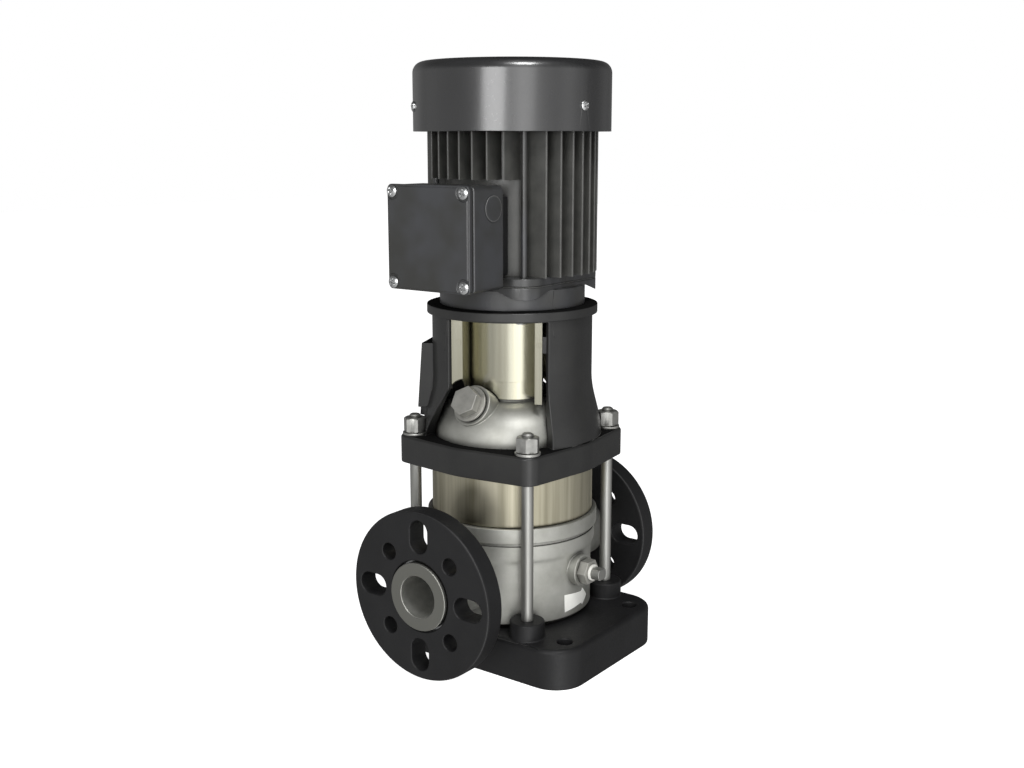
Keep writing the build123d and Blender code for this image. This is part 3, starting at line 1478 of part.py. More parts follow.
# Terminal board with six studs and their nuts
board_back = box_back + box_wall
board_front = board_back + board_thick
with BuildPart() as terminal_board:
    with BuildSketch(side_plane(1, board_back)):
        with Locations((0, seat_middle)):
            Rectangle(board_width, board_height)
            with GridLocations(stud_pitch_x, stud_pitch_z, 3, 2):
                Circle(stud_dia / 2, mode=Mode.SUBTRACT)
    extrude(amount=board_thick)
terminal_board.part.label = "terminal_board"
export_step(terminal_board.part, "parts/terminal_board.step")

with BuildPart() as terminal_studs:
    with BuildSketch(side_plane(1, board_back)):
        with Locations((0, seat_middle)):
            with GridLocations(stud_pitch_x, stud_pitch_z, 3, 2):
                Circle(stud_dia / 2)
    extrude(amount=board_thick + stud_length)
    with BuildSketch(side_plane(1, board_front)):
        with Locations((0, seat_middle)):
            with GridLocations(stud_pitch_x, stud_pitch_z, 3, 2):
                RegularPolygon(stud_nut_dia / 2, 6)
    extrude(amount=stud_nut)
terminal_studs.part.label = "terminal_studs"
export_step(terminal_studs.part, "parts/terminal_studs.step")

# Drain valve: a hexagon body in the housing boss, a collar and a stem that turns
drain_face = drain_boss_reach + drain_hex_height
drain_end = drain_face + drain_collar
with BuildPart() as drain_valve_body:
    with BuildSketch(Plane.YZ.offset(drain_boss_reach)):
        with Locations((0, drain_height)):
            Circle(drain_thread_dia / 2)
    extrude(amount=-drain_thread_length)
    with BuildSketch(Plane.YZ.offset(drain_boss_reach)):
        with Locations((0, drain_height)):
            RegularPolygon(drain_flats / 2, 6, major_radius=False)
    extrude(amount=drain_hex_height)
    with BuildSketch(Plane.YZ.offset(drain_boss_reach - drain_thread_length)):
        with Locations((0, drain_height)):
            Circle(drain_stem_dia / 2 + drain_stem_play)
    extrude(amount=drain_thread_length + drain_hex_height, mode=Mode.SUBTRACT)
drain_valve_body.part.label = "drain_valve_body"
export_step(drain_valve_body.part, "parts/drain_valve_body.step")

with BuildPart() as drain_valve_collar:
    with BuildSketch(Plane.YZ.offset(drain_face)):
        with Locations((0, drain_height)):
            Circle(drain_collar_dia / 2)
            Circle(drain_stem_dia / 2 + drain_stem_play, mode=Mode.SUBTRACT)
    extrude(amount=drain_collar)
drain_valve_collar.part.label = "drain_valve_collar"
export_step(drain_valve_collar.part, "parts/drain_valve_collar.step")

with BuildPart() as drain_valve_stem:
    with BuildSketch(Plane.YZ.offset(drain_boss_reach - drain_thread_length)):
        with Locations((0, drain_height)):
            Circle(drain_stem_dia / 2)
    extrude(amount=drain_end - drain_boss_reach + drain_thread_length)
    with BuildSketch(Plane.YZ.offset(drain_end)):
        with Locations((0, drain_height)):
            Circle(drain_end_dia / 2)
            Rectangle(drain_end_dia, drain_end_flats, mode=Mode.INTERSECT)
    extrude(amount=drain_end_length)
drain_valve_stem.part.label = "drain_valve_stem"
export_step(drain_valve_stem.part, "parts/drain_valve_stem.step")
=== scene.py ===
"""Looks of a vertical multistage pump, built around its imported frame.

Every piece stands in the frame's own axes: +Z up along the shaft, the inlet and the terminal box towards -Y,
the outlet towards +Y and the drain valve on +X. Sizes are written in millimetres.
"""

import logging
import math
from dataclasses import dataclass
from enum import Enum
from typing import Any, Sequence

import bmesh
import bpy
from mathutils import Matrix, Vector


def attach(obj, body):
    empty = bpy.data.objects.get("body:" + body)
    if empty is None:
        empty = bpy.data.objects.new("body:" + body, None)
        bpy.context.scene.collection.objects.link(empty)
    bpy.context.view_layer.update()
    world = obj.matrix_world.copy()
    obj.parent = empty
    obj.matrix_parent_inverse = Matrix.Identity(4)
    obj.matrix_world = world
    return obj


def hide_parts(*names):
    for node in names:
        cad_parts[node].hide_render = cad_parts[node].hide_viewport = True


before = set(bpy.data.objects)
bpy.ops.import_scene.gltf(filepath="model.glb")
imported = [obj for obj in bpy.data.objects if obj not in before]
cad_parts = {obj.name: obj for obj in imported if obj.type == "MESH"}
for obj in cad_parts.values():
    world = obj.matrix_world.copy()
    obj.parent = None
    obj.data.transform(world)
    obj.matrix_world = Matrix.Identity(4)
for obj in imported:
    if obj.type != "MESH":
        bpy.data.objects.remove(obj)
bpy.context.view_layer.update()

log = logging.getLogger("pump")
logging.basicConfig(level=logging.INFO, format="%(name)s: %(message)s")

BMesh = bmesh.types.BMesh
Material = bpy.types.Material
Mesh = bpy.types.Mesh
Piece = bpy.types.Object
Socket = bpy.types.NodeSocket
Tree = bpy.types.NodeTree
Point = tuple[float, float, float]
Pair = tuple[float, float]

MM = 0.001
MICRON = 1e-6
TO_METRES = Matrix.Scale(MM, 4)
SMOOTH_BELOW = math.radians(32.0)
FLAT_WITHIN = math.radians(0.4)
EASED_ABOVE = math.radians(38.0)
FACE_WEIGHT = 60
FIXED = "fixed_pump"

# Noise of the patches and of the grain: how it breaks up, and the part of it that changes the colour or the gloss
PATCH_ROUGHNESS = 0.55
PATCH_BAND: Pair = (0.35, 0.68)
GRAIN_FORMS: Pair = (3.0, 0.6)
GRAIN_BAND: Pair = (0.3, 0.7)
SMOOTHEST = 0.03
COAT_ROUGHNESS = 0.2
# Painted shade in the corners, and wear with a painted highlight on sharp edges: reach in metres, and the open share
# where they are full and where they end
CORNER_SHADE_REACH = 0.0035
CORNER_SHADE_BAND: Pair = (0.42, 0.74)
CORNER_SHADE_COLOUR = "#0b0b0a"
EDGE_WEAR_AND_HIGHLIGHT_REACH = 0.0012
EDGE_WEAR_AND_HIGHLIGHT_BAND: Pair = (0.2, 0.55)
EDGE_WEAR_AND_HIGHLIGHT_COLOUR = "#b4b4b0"


# Colours, nodes and finishes


def linear(colour: str) -> tuple[float, float, float, float]:
    """Turn an sRGB hex colour into linear light.

    Args:
        colour: Six hex digits after a hash sign.

    Returns:
        Red, green, blue and an alpha of one.
    """
    shares = [int(colour[i : i + 2], 16) / 255 for i in (1, 3, 5)]
    red, green, blue = (c / 12.92 if c <= 0.04045 else ((c + 0.055) / 1.055) ** 2.4 for c in shares)
    return red, green, blue, 1.0


def add_node(tree: Tree, kind: str, settings: dict[str, Any], links: dict[Any, Any]) -> bpy.types.Node:
    """Add a node with its settings, values and links.

    Args:
        tree: Tree that takes the node.
        kind: Node type.
        settings: Properties of the node.
        links: Input name or number, with a value or the output socket that feeds it.

    Returns:
        The new node.
    """
    node = tree.nodes.new(kind)
    for name, value in settings.items():
        setattr(node, name, value)
    for name, value in links.items():
        if isinstance(value, Socket):
            tree.links.new(value, node.inputs[name])
        else:
            node.inputs[name].default_value = value
    return node


def banded(tree: Tree, value: Socket, band: Pair, result: Pair, blend: str = "LINEAR") -> Socket:
    """Map a band of values to a result, held at both ends.

    Args:
        tree: Tree that takes the node.
        value: Value to map.
        band: Values where the result starts and ends.
        result: First and last result.
        blend: Kind of the change between them.

    Returns:
        The socket with the result.
    """
    links = {"Value": value, "From Min": band[0], "From Max": band[1], "To Min": result[0], "To Max": result[1]}
    return add_node(tree, "ShaderNodeMapRange", {"interpolation_type": blend}, links).outputs["Result"]


def mixed(tree: Tree, share: Socket, first: Any, second: Any) -> Socket:
    """Mix two colours.

    Args:
        tree: Tree that takes the node.
        share: Share of the second colour.
        first: Colour or socket.
        second: Colour or socket.

    Returns:
        The socket with the mixed colour.
    """
    return add_node(tree, "ShaderNodeMix", {"data_type": "RGBA"}, {0: share, 6: first, 7: second}).outputs[2]


def openness(tree: Tree, reach: float, inside: bool) -> Socket:
    """Tell how open each point of a surface lies, outwards or into the piece, within a reach in metres."""
    settings = {"samples": 6, "inside": inside}
    return add_node(tree, "ShaderNodeAmbientOcclusion", settings, {"Distance": reach}).outputs["AO"]


def noise(tree: Tree, place: Socket, size_mm: float, detail: float, roughness: float) -> Socket:
    """Add a noise of a real size.

    Args:
        tree: Tree that takes the node.
        place: Point in metres.
        size_mm: Size of its largest forms.
        detail: How far it breaks up into smaller forms.
        roughness: Share that each smaller form keeps.

    Returns:
        The socket with its value.
    """
    links = {"Vector": place, "Scale": 1 / (size_mm * MM), "Detail": detail, "Roughness": roughness}
    return add_node(tree, "ShaderNodeTexNoise", {}, links).outputs["Fac"]


class Grain(Enum):
    """How a surface was made, as the stretch of its grain along X, Y and Z."""

    EVEN = (1.0, 1.0, 1.0)
    ALONG_Z = (1.0, 1.0, 0.03)
    ROUND_Z = (0.03, 0.03, 1.0)
    ROUND_Y = (0.03, 1.0, 0.03)
    STACKED_Z = (0.001, 0.001, 1.0)


@dataclass(frozen=True)
class Finish:
    """One finish, with its colours, gloss and grain, painted shade in its corners, and lighter edges for wear and a
    painted highlight.

    Attributes:
        name: Common name of the finish.
        colour: Main colour.
        second: Colour of the soft patches.
        metallic: Share of metal.
        roughness: Mean roughness.
        spread: How far the grain moves the roughness.
        grain_mm: Size of the grain.
        relief_um: Height of the grain.
        patch_mm: Size of the colour patches.
        grain: Direction of the grain.
        coat: Weight of a clear or oily film on top.
        anisotropic: Stretch of the highlight across brushing.
        corner_shade: Share of the colour that painted shade takes in the corners.
        edge_wear_and_highlight: Share of lighter colour on sharp edges, partly wear and partly a painted highlight.
        shine: Level of the clear reflection of paints and plastics.
        detail: How far the colour patches break up into smaller ones.
        reach: How far out of a corner the painted shade reaches, in metres.
    """

    name: str
    colour: str
    second: str
    metallic: float
    roughness: float
    spread: float
    grain_mm: float
    relief_um: float
    patch_mm: float = 22.0
    grain: Grain = Grain.EVEN
    coat: float = 0.0
    anisotropic: float = 0.0
    corner_shade: float = 0.45
    edge_wear_and_highlight: float = 0.0
    shine: float = 0.5
    detail: float = 4.0
    reach: float = CORNER_SHADE_REACH

    def material(self) -> Material:
        """Build the finish once and give it out again later.

        Returns:
            The material.
        """
        made = bpy.data.materials.get(self.name)
        if made:
            return made
        made = bpy.data.materials.new(self.name)
        made.use_nodes = True
        tree = made.node_tree
        tree.nodes.clear()
        place = add_node(tree, "ShaderNodeTexCoord", {}, {}).outputs["Object"]
        drawn = add_node(tree, "ShaderNodeMapping", {}, {"Vector": place, "Scale": self.grain.value})
        fine = noise(tree, drawn.outputs["Vector"], self.grain_mm, *GRAIN_FORMS)
        soft = noise(tree, drawn.outputs["Vector"], self.patch_mm, self.detail, PATCH_ROUGHNESS)
        patches = banded(tree, soft, PATCH_BAND, (0.0, 1.0))
        tint = mixed(tree, patches, linear(self.colour), linear(self.second))
        # Painted shade: the colour darkens where the surface is closed in, in corners, under overhangs and deep in
        # hollows
        corner_shaded = banded(tree, openness(tree, self.reach, False), CORNER_SHADE_BAND, (self.corner_shade, 0.0))
        # Wear and painted highlight: the colour lightens on sharp outer edges
        worn_and_lit_edges = banded(tree, openness(tree, EDGE_WEAR_AND_HIGHLIGHT_REACH, True), EDGE_WEAR_AND_HIGHLIGHT_BAND, (self.edge_wear_and_highlight, 0.0))
        shown = mixed(tree, worn_and_lit_edges, mixed(tree, corner_shaded, tint, linear(CORNER_SHADE_COLOUR)), linear(EDGE_WEAR_AND_HIGHLIGHT_COLOUR))
        low, high = max(self.roughness - self.spread, SMOOTHEST), min(self.roughness + self.spread, 1.0)
        relief = {"Height": fine, "Strength": 1.0, "Distance": self.relief_um * MICRON}
        look = {
            "Base Color": shown,
            "Metallic": self.metallic,
            "Roughness": banded(tree, fine, GRAIN_BAND, (low, high)),
            "Normal": add_node(tree, "ShaderNodeBump", {}, relief).outputs["Normal"],
            "Coat Weight": self.coat,
            "Coat Roughness": COAT_ROUGHNESS,
            "Anisotropic": self.anisotropic,
            "Specular IOR Level": self.shine,
        }
        shader = add_node(tree, "ShaderNodeBsdfPrincipled", {}, look)
        add_node(tree, "ShaderNodeOutputMaterial", {}, {"Surface": shader.outputs["BSDF"]})
        return made


# In each finish the values run in the order of the attributes above

# Satin paint on sand cast iron: dark, low gloss, the sand still shows as a shallow grain
# Its painted shade reaches far from the corners, as a shadow on the deck round the housing
IRON_PAINT = Finish(
    "satin_paint_on_cast_iron", "#1e1e1f", "#19191a", 0.0, 0.5, 0.06, 1.6, 60.0, edge_wear_and_highlight=0.05, shine=0.3, reach=0.008
)
# The same paint on the stool under a thin clear coat: smoother, and painted a little lighter, which stands in for the
# light that falls on it
LIT_STOOL_PAINT = Finish(
    "satin_coat_on_cast_iron_painted_lighter", "#272726", "#212121", 0.0, 0.46, 0.05, 1.6, 45.0,
    coat=0.2, corner_shade=0.6, edge_wear_and_highlight=0.14, shine=0.4,
)  # fmt: skip
# The same paint on level faces, dull and painted dark: painted shade on the faces that look up
SHADED_LEDGE_PAINT = Finish(
    "dull_paint_with_painted_shade_on_level_faces", "#131313", "#0f0f0f", 0.0, 0.85, 0.05, 1.6, 45.0, corner_shade=0.8, shine=0.05
)
# Satin paint on die cast aluminium: smoother than iron, so its highlights are longer
# Its edges take the most wear and painted highlight
MOTOR_PAINT = Finish(
    "satin_paint_on_aluminium", "#2b2b29", "#36373a", 0.0, 0.42, 0.04, 1.2, 18.0, 30.0, coat=0.4, edge_wear_and_highlight=0.22, detail=2.0
)
# The same paint on the rough cast fins, more matt, and painted lighter, which stands in for the light that falls on
# the fins
LIT_FIN_PAINT = Finish(
    "satin_paint_on_fins_painted_lighter", "#41413e", "#363634", 0.0, 0.52, 0.05, 1.2, 30.0, 12.0, coat=0.3, corner_shade=0.6, edge_wear_and_highlight=0.08
)
# Powder coat on deep drawn steel: even orange peel, the glossiest black here
COVER_PAINT = Finish("powder_coat_on_drawn_steel", "#222223", "#1f1f20", 0.0, 0.3, 0.03, 2.4, 5.0, coat=1.0, edge_wear_and_highlight=0.08)
# Bead blasted stainless casting: bright and even, with no direction in it
# Its painted shade is strong and reaches far from the corners, as dark halos round the bosses and under the collar
BLASTED = Finish(
    "bead_blasted_cast_stainless", "#b8b8b2", "#a3a39c", 0.8, 0.52, 0.05, 1.1, 22.0, corner_shade=0.9, reach=0.009
)
# Cold rolled stainless tube: warm, with faint draw marks along the tube
SLEEVE_STEEL = Finish(
    "rolled_stainless_tube", "#bcb7a3", "#8a8572", 1.0, 0.38, 0.05, 1.4, 1.5, 9.0, Grain.ALONG_Z,
    anisotropic=0.75, corner_shade=0.8,
)  # fmt: skip
# Polished stainless sheet: warm and nearly a mirror
GUARD_STEEL = Finish(
    "polished_stainless_sheet", "#c3c1b0", "#a7a492", 1.0, 0.24, 0.03, 1.2, 0.8, 9.0, Grain.ALONG_Z,
    anisotropic=0.6, corner_shade=0.6, detail=1.0,
)  # fmt: skip
# Drawn stainless bar: satin, with fine lines along the bar
BAR_STEEL = Finish("drawn_stainless_bar", "#a8a8a4", "#989894", 0.9, 0.47, 0.05, 0.9, 4.0, 12.0, Grain.ALONG_Z)
# Cold formed stainless nuts: satin flats
NUT_STEEL = Finish("cold_formed_stainless", "#b4b4b0", "#a0a09c", 0.9, 0.44, 0.06, 1.0, 6.0, 6.0, corner_shade=0.8)
# Bright zinc plate on small screws
ZINC_PLATE = Finish("bright_zinc_plate", "#cfd0d0", "#b5b6b6", 1.0, 0.26, 0.05, 0.8, 3.0, 3.0)
# Matt stainless, turned and then tumbled: no clear highlight left
PLUG_STEEL = Finish("tumbled_stainless", "#bcbbb5", "#a9a8a2", 0.8, 0.5, 0.05, 1.0, 8.0, 8.0, corner_shade=0.8)
# Machined face of the casting: fine rings round the port
FACE_STEEL = Finish("turned_stainless_face", "#7d7d77", "#6d6d68", 0.8, 0.5, 0.06, 0.8, 5.0, 9.0, Grain.ROUND_Y)
# Water side of the cast ports: painted shade makes it darker the deeper it lies
SHADED_BORE_STEEL = Finish(
    "cast_stainless_bore_with_painted_shade", "#c4c4be", "#aeaea8", 0.8, 0.45, 0.06, 1.0, 12.0, 9.0, corner_shade=0.93, reach=0.0265
)
# Ground shaft steel: rings round the shaft
SHAFT_STEEL = Finish("ground_shaft_steel", "#c2c3c3", "#adaeae", 1.0, 0.22, 0.04, 0.8, 1.0, 8.0, Grain.ROUND_Z)
# Pressed stainless sheet of the stages
STAGE_STEEL = Finish("pressed_stainless_sheet", "#b6b6b2", "#a3a39f", 1.0, 0.3, 0.05, 1.2, 3.0, 12.0)
# Phosphated cast iron of the coupling: dark grey and dry
COUPLING_IRON = Finish("phosphated_cast_iron", "#4b4b4a", "#3d3d3c", 0.7, 0.55, 0.08, 1.2, 20.0)
# Moulded nylon, natural white: slightly soft edges, semi gloss
NYLON = Finish("moulded_nylon", "#f1f0ea", "#e6e5dd", 0.0, 0.34, 0.05, 1.4, 4.0, 5.0)
# Vinyl film of the flow arrow: flat white
FILM = Finish("white_vinyl_film", "#fbfbf6", "#f3f3ec", 0.0, 0.4, 0.05, 1.6, 1.0, 8.0)
# Nitrile rubber of rings and gaskets: matt black, dusty
RUBBER = Finish("nitrile_rubber", "#1a1a1a", "#242423", 0.0, 0.75, 0.08, 0.9, 10.0, 6.0)
# Carbon of the seal faces and bushes: lapped, soft sheen
CARBON = Finish("resin_bonded_carbon", "#26272a", "#1d1e20", 0.0, 0.36, 0.06, 0.7, 1.5, 5.0)
# Glass filled polyamide of the fan: dry black
FAN_PLASTIC = Finish("glass_filled_polyamide", "#1d1d1e", "#262627", 0.0, 0.55, 0.07, 1.0, 9.0, 7.0)
# Moulded thermoset of the terminal board: brown black
BOARD_PLASTIC = Finish("moulded_thermoset", "#2c2420", "#231d1a", 0.0, 0.42, 0.05, 1.1, 5.0, 6.0)
# Turned brass of the terminal studs
BRASS = Finish("turned_brass", "#c9a04e", "#a9853d", 1.0, 0.28, 0.05, 0.7, 2.0, 5.0, Grain.ROUND_Y)
# Varnished copper wire of the end windings: lines round the bore
WINDING = Finish("varnished_copper_winding", "#8c4a22", "#6d3718", 0.6, 0.35, 0.1, 0.9, 150.0, 4.0, Grain.ROUND_Z, 0.6)
# Stacked sheet of the motor cores: dark edges of the sheets lie over each other
LAMINATION = Finish("stacked_lamination_sheet", "#5a5b5e", "#3b3c3f", 0.8, 0.5, 0.1, 0.7, 40.0, 3.0, Grain.STACKED_Z)
# Pressed fibre of the plug washer
FIBRE = Finish("pressed_fibre", "#3a3632", "#2f2c29", 0.0, 0.7, 0.06, 0.8, 12.0, 4.0)


# Meshes and pieces


def link(name: str, data: Any) -> Piece:
    """Put an object with this data in the scene."""
    made = bpy.data.objects.new(name, data)
    bpy.context.scene.collection.objects.link(made)
    return made


def plain(name: str, bm: BMesh) -> Mesh:
    """Turn a drawn mesh into a plain one and let the drawn one go.

    Args:
        name: Name of the mesh.
        bm: The drawn mesh.

    Returns:
        The plain mesh.
    """
    mesh = bpy.data.meshes.new(name)
    bm.to_mesh(mesh)
    bm.free()
    return mesh


def smooth_mesh(mesh: Mesh) -> None:
    """Shade a mesh smooth, with its real edges kept sharp."""
    mesh.shade_smooth()
    mesh.set_sharp_from_angle(angle=SMOOTH_BELOW)


def around(radius: float, angle: float, height: float = 0.0) -> Point:
    """Give the point at a radius, an angle about Z in radians and a height."""
    return radius * math.cos(angle), radius * math.sin(angle), height


def spun(profile: Sequence[Pair], steps: int, closed: bool = False) -> BMesh:
    """Turn a profile about Z.

    Args:
        profile: Corners as (outward, upward) in millimetres.
        steps: Faces round the axis.
        closed: Whether the last corner joins the first.

    Returns:
        A mesh in millimetres with its normals outwards.
    """
    bm = bmesh.new()
    corners = [bm.verts.new((r, 0.0, z)) for r, z in profile]
    ends = corners[1:] + corners[:1] if closed else corners[1:]
    edges = [bm.edges.new(pair) for pair in zip(corners, ends)]
    bmesh.ops.spin(
        bm, geom=corners + edges, cent=(0, 0, 0), axis=(0, 0, 1), angle=math.tau, steps=steps, use_merge=True
    )
    bmesh.ops.remove_doubles(bm, verts=bm.verts, dist=MICRON / MM)
    bmesh.ops.recalc_face_normals(bm, faces=bm.faces)
    return bm


def rounded(corners: Sequence[Point], steps: int) -> list[Pair]:
    """Round the corners of a closed profile.

    Args:
        corners: Corners as (outward, upward, radius) in millimetres.
        steps: Points on each rounded corner.

    Returns:
        The corners of the rounded profile.
    """
    longest = 0.49
    points: list[Pair] = []
    for i, (r, z, radius) in enumerate(corners):
        here = Vector((r, z))
        if radius <= 0:
            points.append((r, z))
            continue
        before = Vector(corners[i - 1][:2]) - here
        after = Vector(corners[(i + 1) % len(corners)][:2]) - here
        half = before.angle(after) / 2
        reach = min(radius / math.tan(half), longest * before.length, longest * after.length)
        first, last = here + before.normalized() * reach, here + after.normalized() * reach
        for k in range(steps + 1):
            t = k / steps
            points.append(tuple(first * (1 - t) ** 2 + here * 2 * t * (1 - t) + last * t**2))
    return points


def pipe(radii: Pair, levels: Pair, edges: Sequence[float], steps: int, edge_steps: int = 5) -> BMesh:
    """Make a tube with rounded edges.

    Args:
        radii: Inner and outer radius in millimetres.
        levels: Its lower and upper end.
        edges: Radius of its edges: inside and outside below, then outside and inside above.
        steps: Faces round the axis.
        edge_steps: Faces across each edge.

    Returns:
        A mesh in millimetres.
    """
    (inner, outer), (low, high) = radii, levels
    places = ((inner, low), (outer, low), (outer, high), (inner, high))
    corners = [(r, z, radius) for (r, z), radius in zip(places, edges)]
    return spun(rounded(corners, edge_steps), steps, True)


def hexagon_nut(flats: float, height: float, bore: float, steps: int = 48) -> BMesh:
    """Make a hexagon nut whose corners are cut by a cone at both ends, as on a turned nut.

    Args:
        flats: Width across flats.
        height: Height, from z 0 up.
        bore: Diameter of the hole.
        steps: Points round it, a multiple of twelve.

    Returns:
        A mesh in millimetres.
    """
    # The end face and its rim as shares of the flats, then where the cone starts and how fast it drops
    face, rim, cone, slope = 0.96, 0.99, 0.28, 0.55
    sixth, inscribed = math.pi / 3, flats / 2
    levels = ((0.0, face), (0.0, rim), (cone, None), (height - cone, None), (height, rim), (height, face))
    angles = [math.tau * k / steps for k in range(steps)]
    bm = bmesh.new()
    loops = []
    for level, share in levels:
        loop = []
        for angle in angles:
            to_flat = (angle + sixth / 2) % sixth - sixth / 2
            outer = inscribed * share if share else inscribed / math.cos(to_flat)
            drop = 0.0 if share else (outer - inscribed) * slope
            loop.append(bm.verts.new(around(outer, angle, level + drop if level < height / 2 else level - drop)))
        loops.append(loop)
    loops += [[bm.verts.new(around(bore / 2, angle, level)) for angle in angles] for level in (height, 0.0)]
    loops.append(loops[0])
    for low, high in zip(loops, loops[1:]):
        for k in range(steps):
            bm.faces.new((low[k], low[(k + 1) % steps], high[(k + 1) % steps], high[k]))
    bmesh.ops.recalc_face_normals(bm, faces=bm.faces)
    return bm


def crossed_screw(head: float, height: float, slot: float) -> BMesh:
    """Make a domed screw head with a cross sunk into its top.

    Args:
        head: Diameter of the head.
        height: Height of the head.
        slot: Width of the cross.

    Returns:
        A mesh in millimetres, seated on z 0.
    """
    rings, count = 14, 56
    # How far the dome falls to its rim and how late it does, then the reach and the depth of the cross
    fall, late, cross, depth = 0.55, 2.4, head / 2 * 0.62, height * 0.5
    bm = bmesh.new()
    centre = bm.verts.new((0, 0, height - depth))
    loops: list[list[bmesh.types.BMVert]] = []
    for ring in range(1, rings + 1):
        share = ring / rings
        dome = height * (1 - fall * share**late)
        loop = []
        for k in range(count):
            x, y, _ = around(head / 2 * share, math.tau * k / count)
            near, far = sorted((abs(x), abs(y)))
            sunk = depth * (1 - far / cross) ** 0.5 if near < slot / 2 and far < cross else 0.0
            loop.append(bm.verts.new((x, y, dome - sunk)))
        loops.append(loop)
    rim = [bm.verts.new((v.co.x, v.co.y, 0.0)) for v in loops[-1]]
    loops.append(rim)
    for k in range(count):
        bm.faces.new((centre, loops[0][k], loops[0][(k + 1) % count]))
    for inner, outer in zip(loops, loops[1:]):
        for k in range(count):
            bm.faces.new((inner[k], outer[k], outer[(k + 1) % count], inner[(k + 1) % count]))
    bm.faces.new(rim[::-1])
    bmesh.ops.recalc_face_normals(bm, faces=bm.faces)
    return bm


@dataclass
class SubAssembly:
    """A group of pieces that are made and dressed together."""

    def place(self, name: str, mesh: Mesh, finish: Finish, body: str, slot: str) -> Piece:
        """Put a finished mesh in the scene.

        Args:
            name: Name of the piece.
            mesh: Its mesh, in metres and in the frame's axes.
            finish: Its finish.
            body: Body that carries it.
            slot: Material slot of the record; not used.

        Returns:
            The piece.
        """
        piece = link(name, mesh)
        mesh.materials.clear()
        mesh.materials.append(finish.material())
        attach(piece, body)
        log.info("%s: %d faces, %s", name, len(mesh.polygons), finish.name)
        return piece

    def from_bmesh(self, name: str, bm: BMesh, finish: Finish, slot: str) -> Piece:
        """Put a mesh that is drawn in millimetres on the fixed body.

        Args:
            name: Name of the piece.
            bm: Its mesh in millimetres.
            finish: Its finish.
            slot: Material slot of the record.

        Returns:
            The piece.
        """
        bm.transform(TO_METRES)
        mesh = plain(name, bm)
        smooth_mesh(mesh)
        return self.place(name, mesh, finish, FIXED, slot)

    def eased(
        self, node: str, finish: Finish, edge: float, slot: str, body: str = FIXED, steps: int = 2, joined: bool = True
    ) -> Piece:
        """Stand a copy with eased edges in for a node of the frame.

        Args:
            node: Node of the frame.
            finish: Finish of the copy.
            edge: Width of the eased edges in millimetres.
            slot: Material slot of the record.
            body: Body that carries it.
            steps: Faces across each eased edge.
            joined: Whether flat faces are joined first. A face with many slots isn't.

        Returns:
            The piece.
        """
        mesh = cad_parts[node].data.copy()
        mesh.name = node + "_eased"
        bm = bmesh.new()
        bm.from_mesh(mesh)
        bmesh.ops.remove_doubles(bm, verts=bm.verts, dist=2 * MICRON)
        if joined:
            bmesh.ops.dissolve_limit(bm, angle_limit=FLAT_WITHIN, verts=bm.verts, edges=bm.edges, delimit={"NORMAL"})
        bm.to_mesh(mesh)
        bm.free()
        for name in [a.name for a in mesh.color_attributes]:
            mesh.color_attributes.remove(mesh.color_attributes[name])
        smooth_mesh(mesh)
        piece = self.place(node + "_eased", mesh, finish, body, slot)
        if edge > 0:
            bevel = piece.modifiers.new("eased edges", "BEVEL")
            bevel.width = edge * MM
            bevel.segments = steps
            bevel.limit_method = "ANGLE"
            bevel.angle_limit = EASED_ABOVE
            bevel.use_clamp_overlap = False
            bevel.miter_outer = "MITER_ARC"
        shading = piece.modifiers.new("even shading", "WEIGHTED_NORMAL")
        shading.keep_sharp = True
        shading.weight = FACE_WEIGHT
        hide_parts(node)
        return piece

    def dress(self, finish: Finish, *nodes: str) -> None:
        """Give nodes of the frame a finish.

        Args:
            finish: The finish.
            nodes: Nodes that keep their own shape.
        """
        for node in nodes:
            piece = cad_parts[node]
            piece.data.materials.clear()
            piece.data.materials.append(finish.material())
            log.info("%s: kept, %s", node, finish.name)


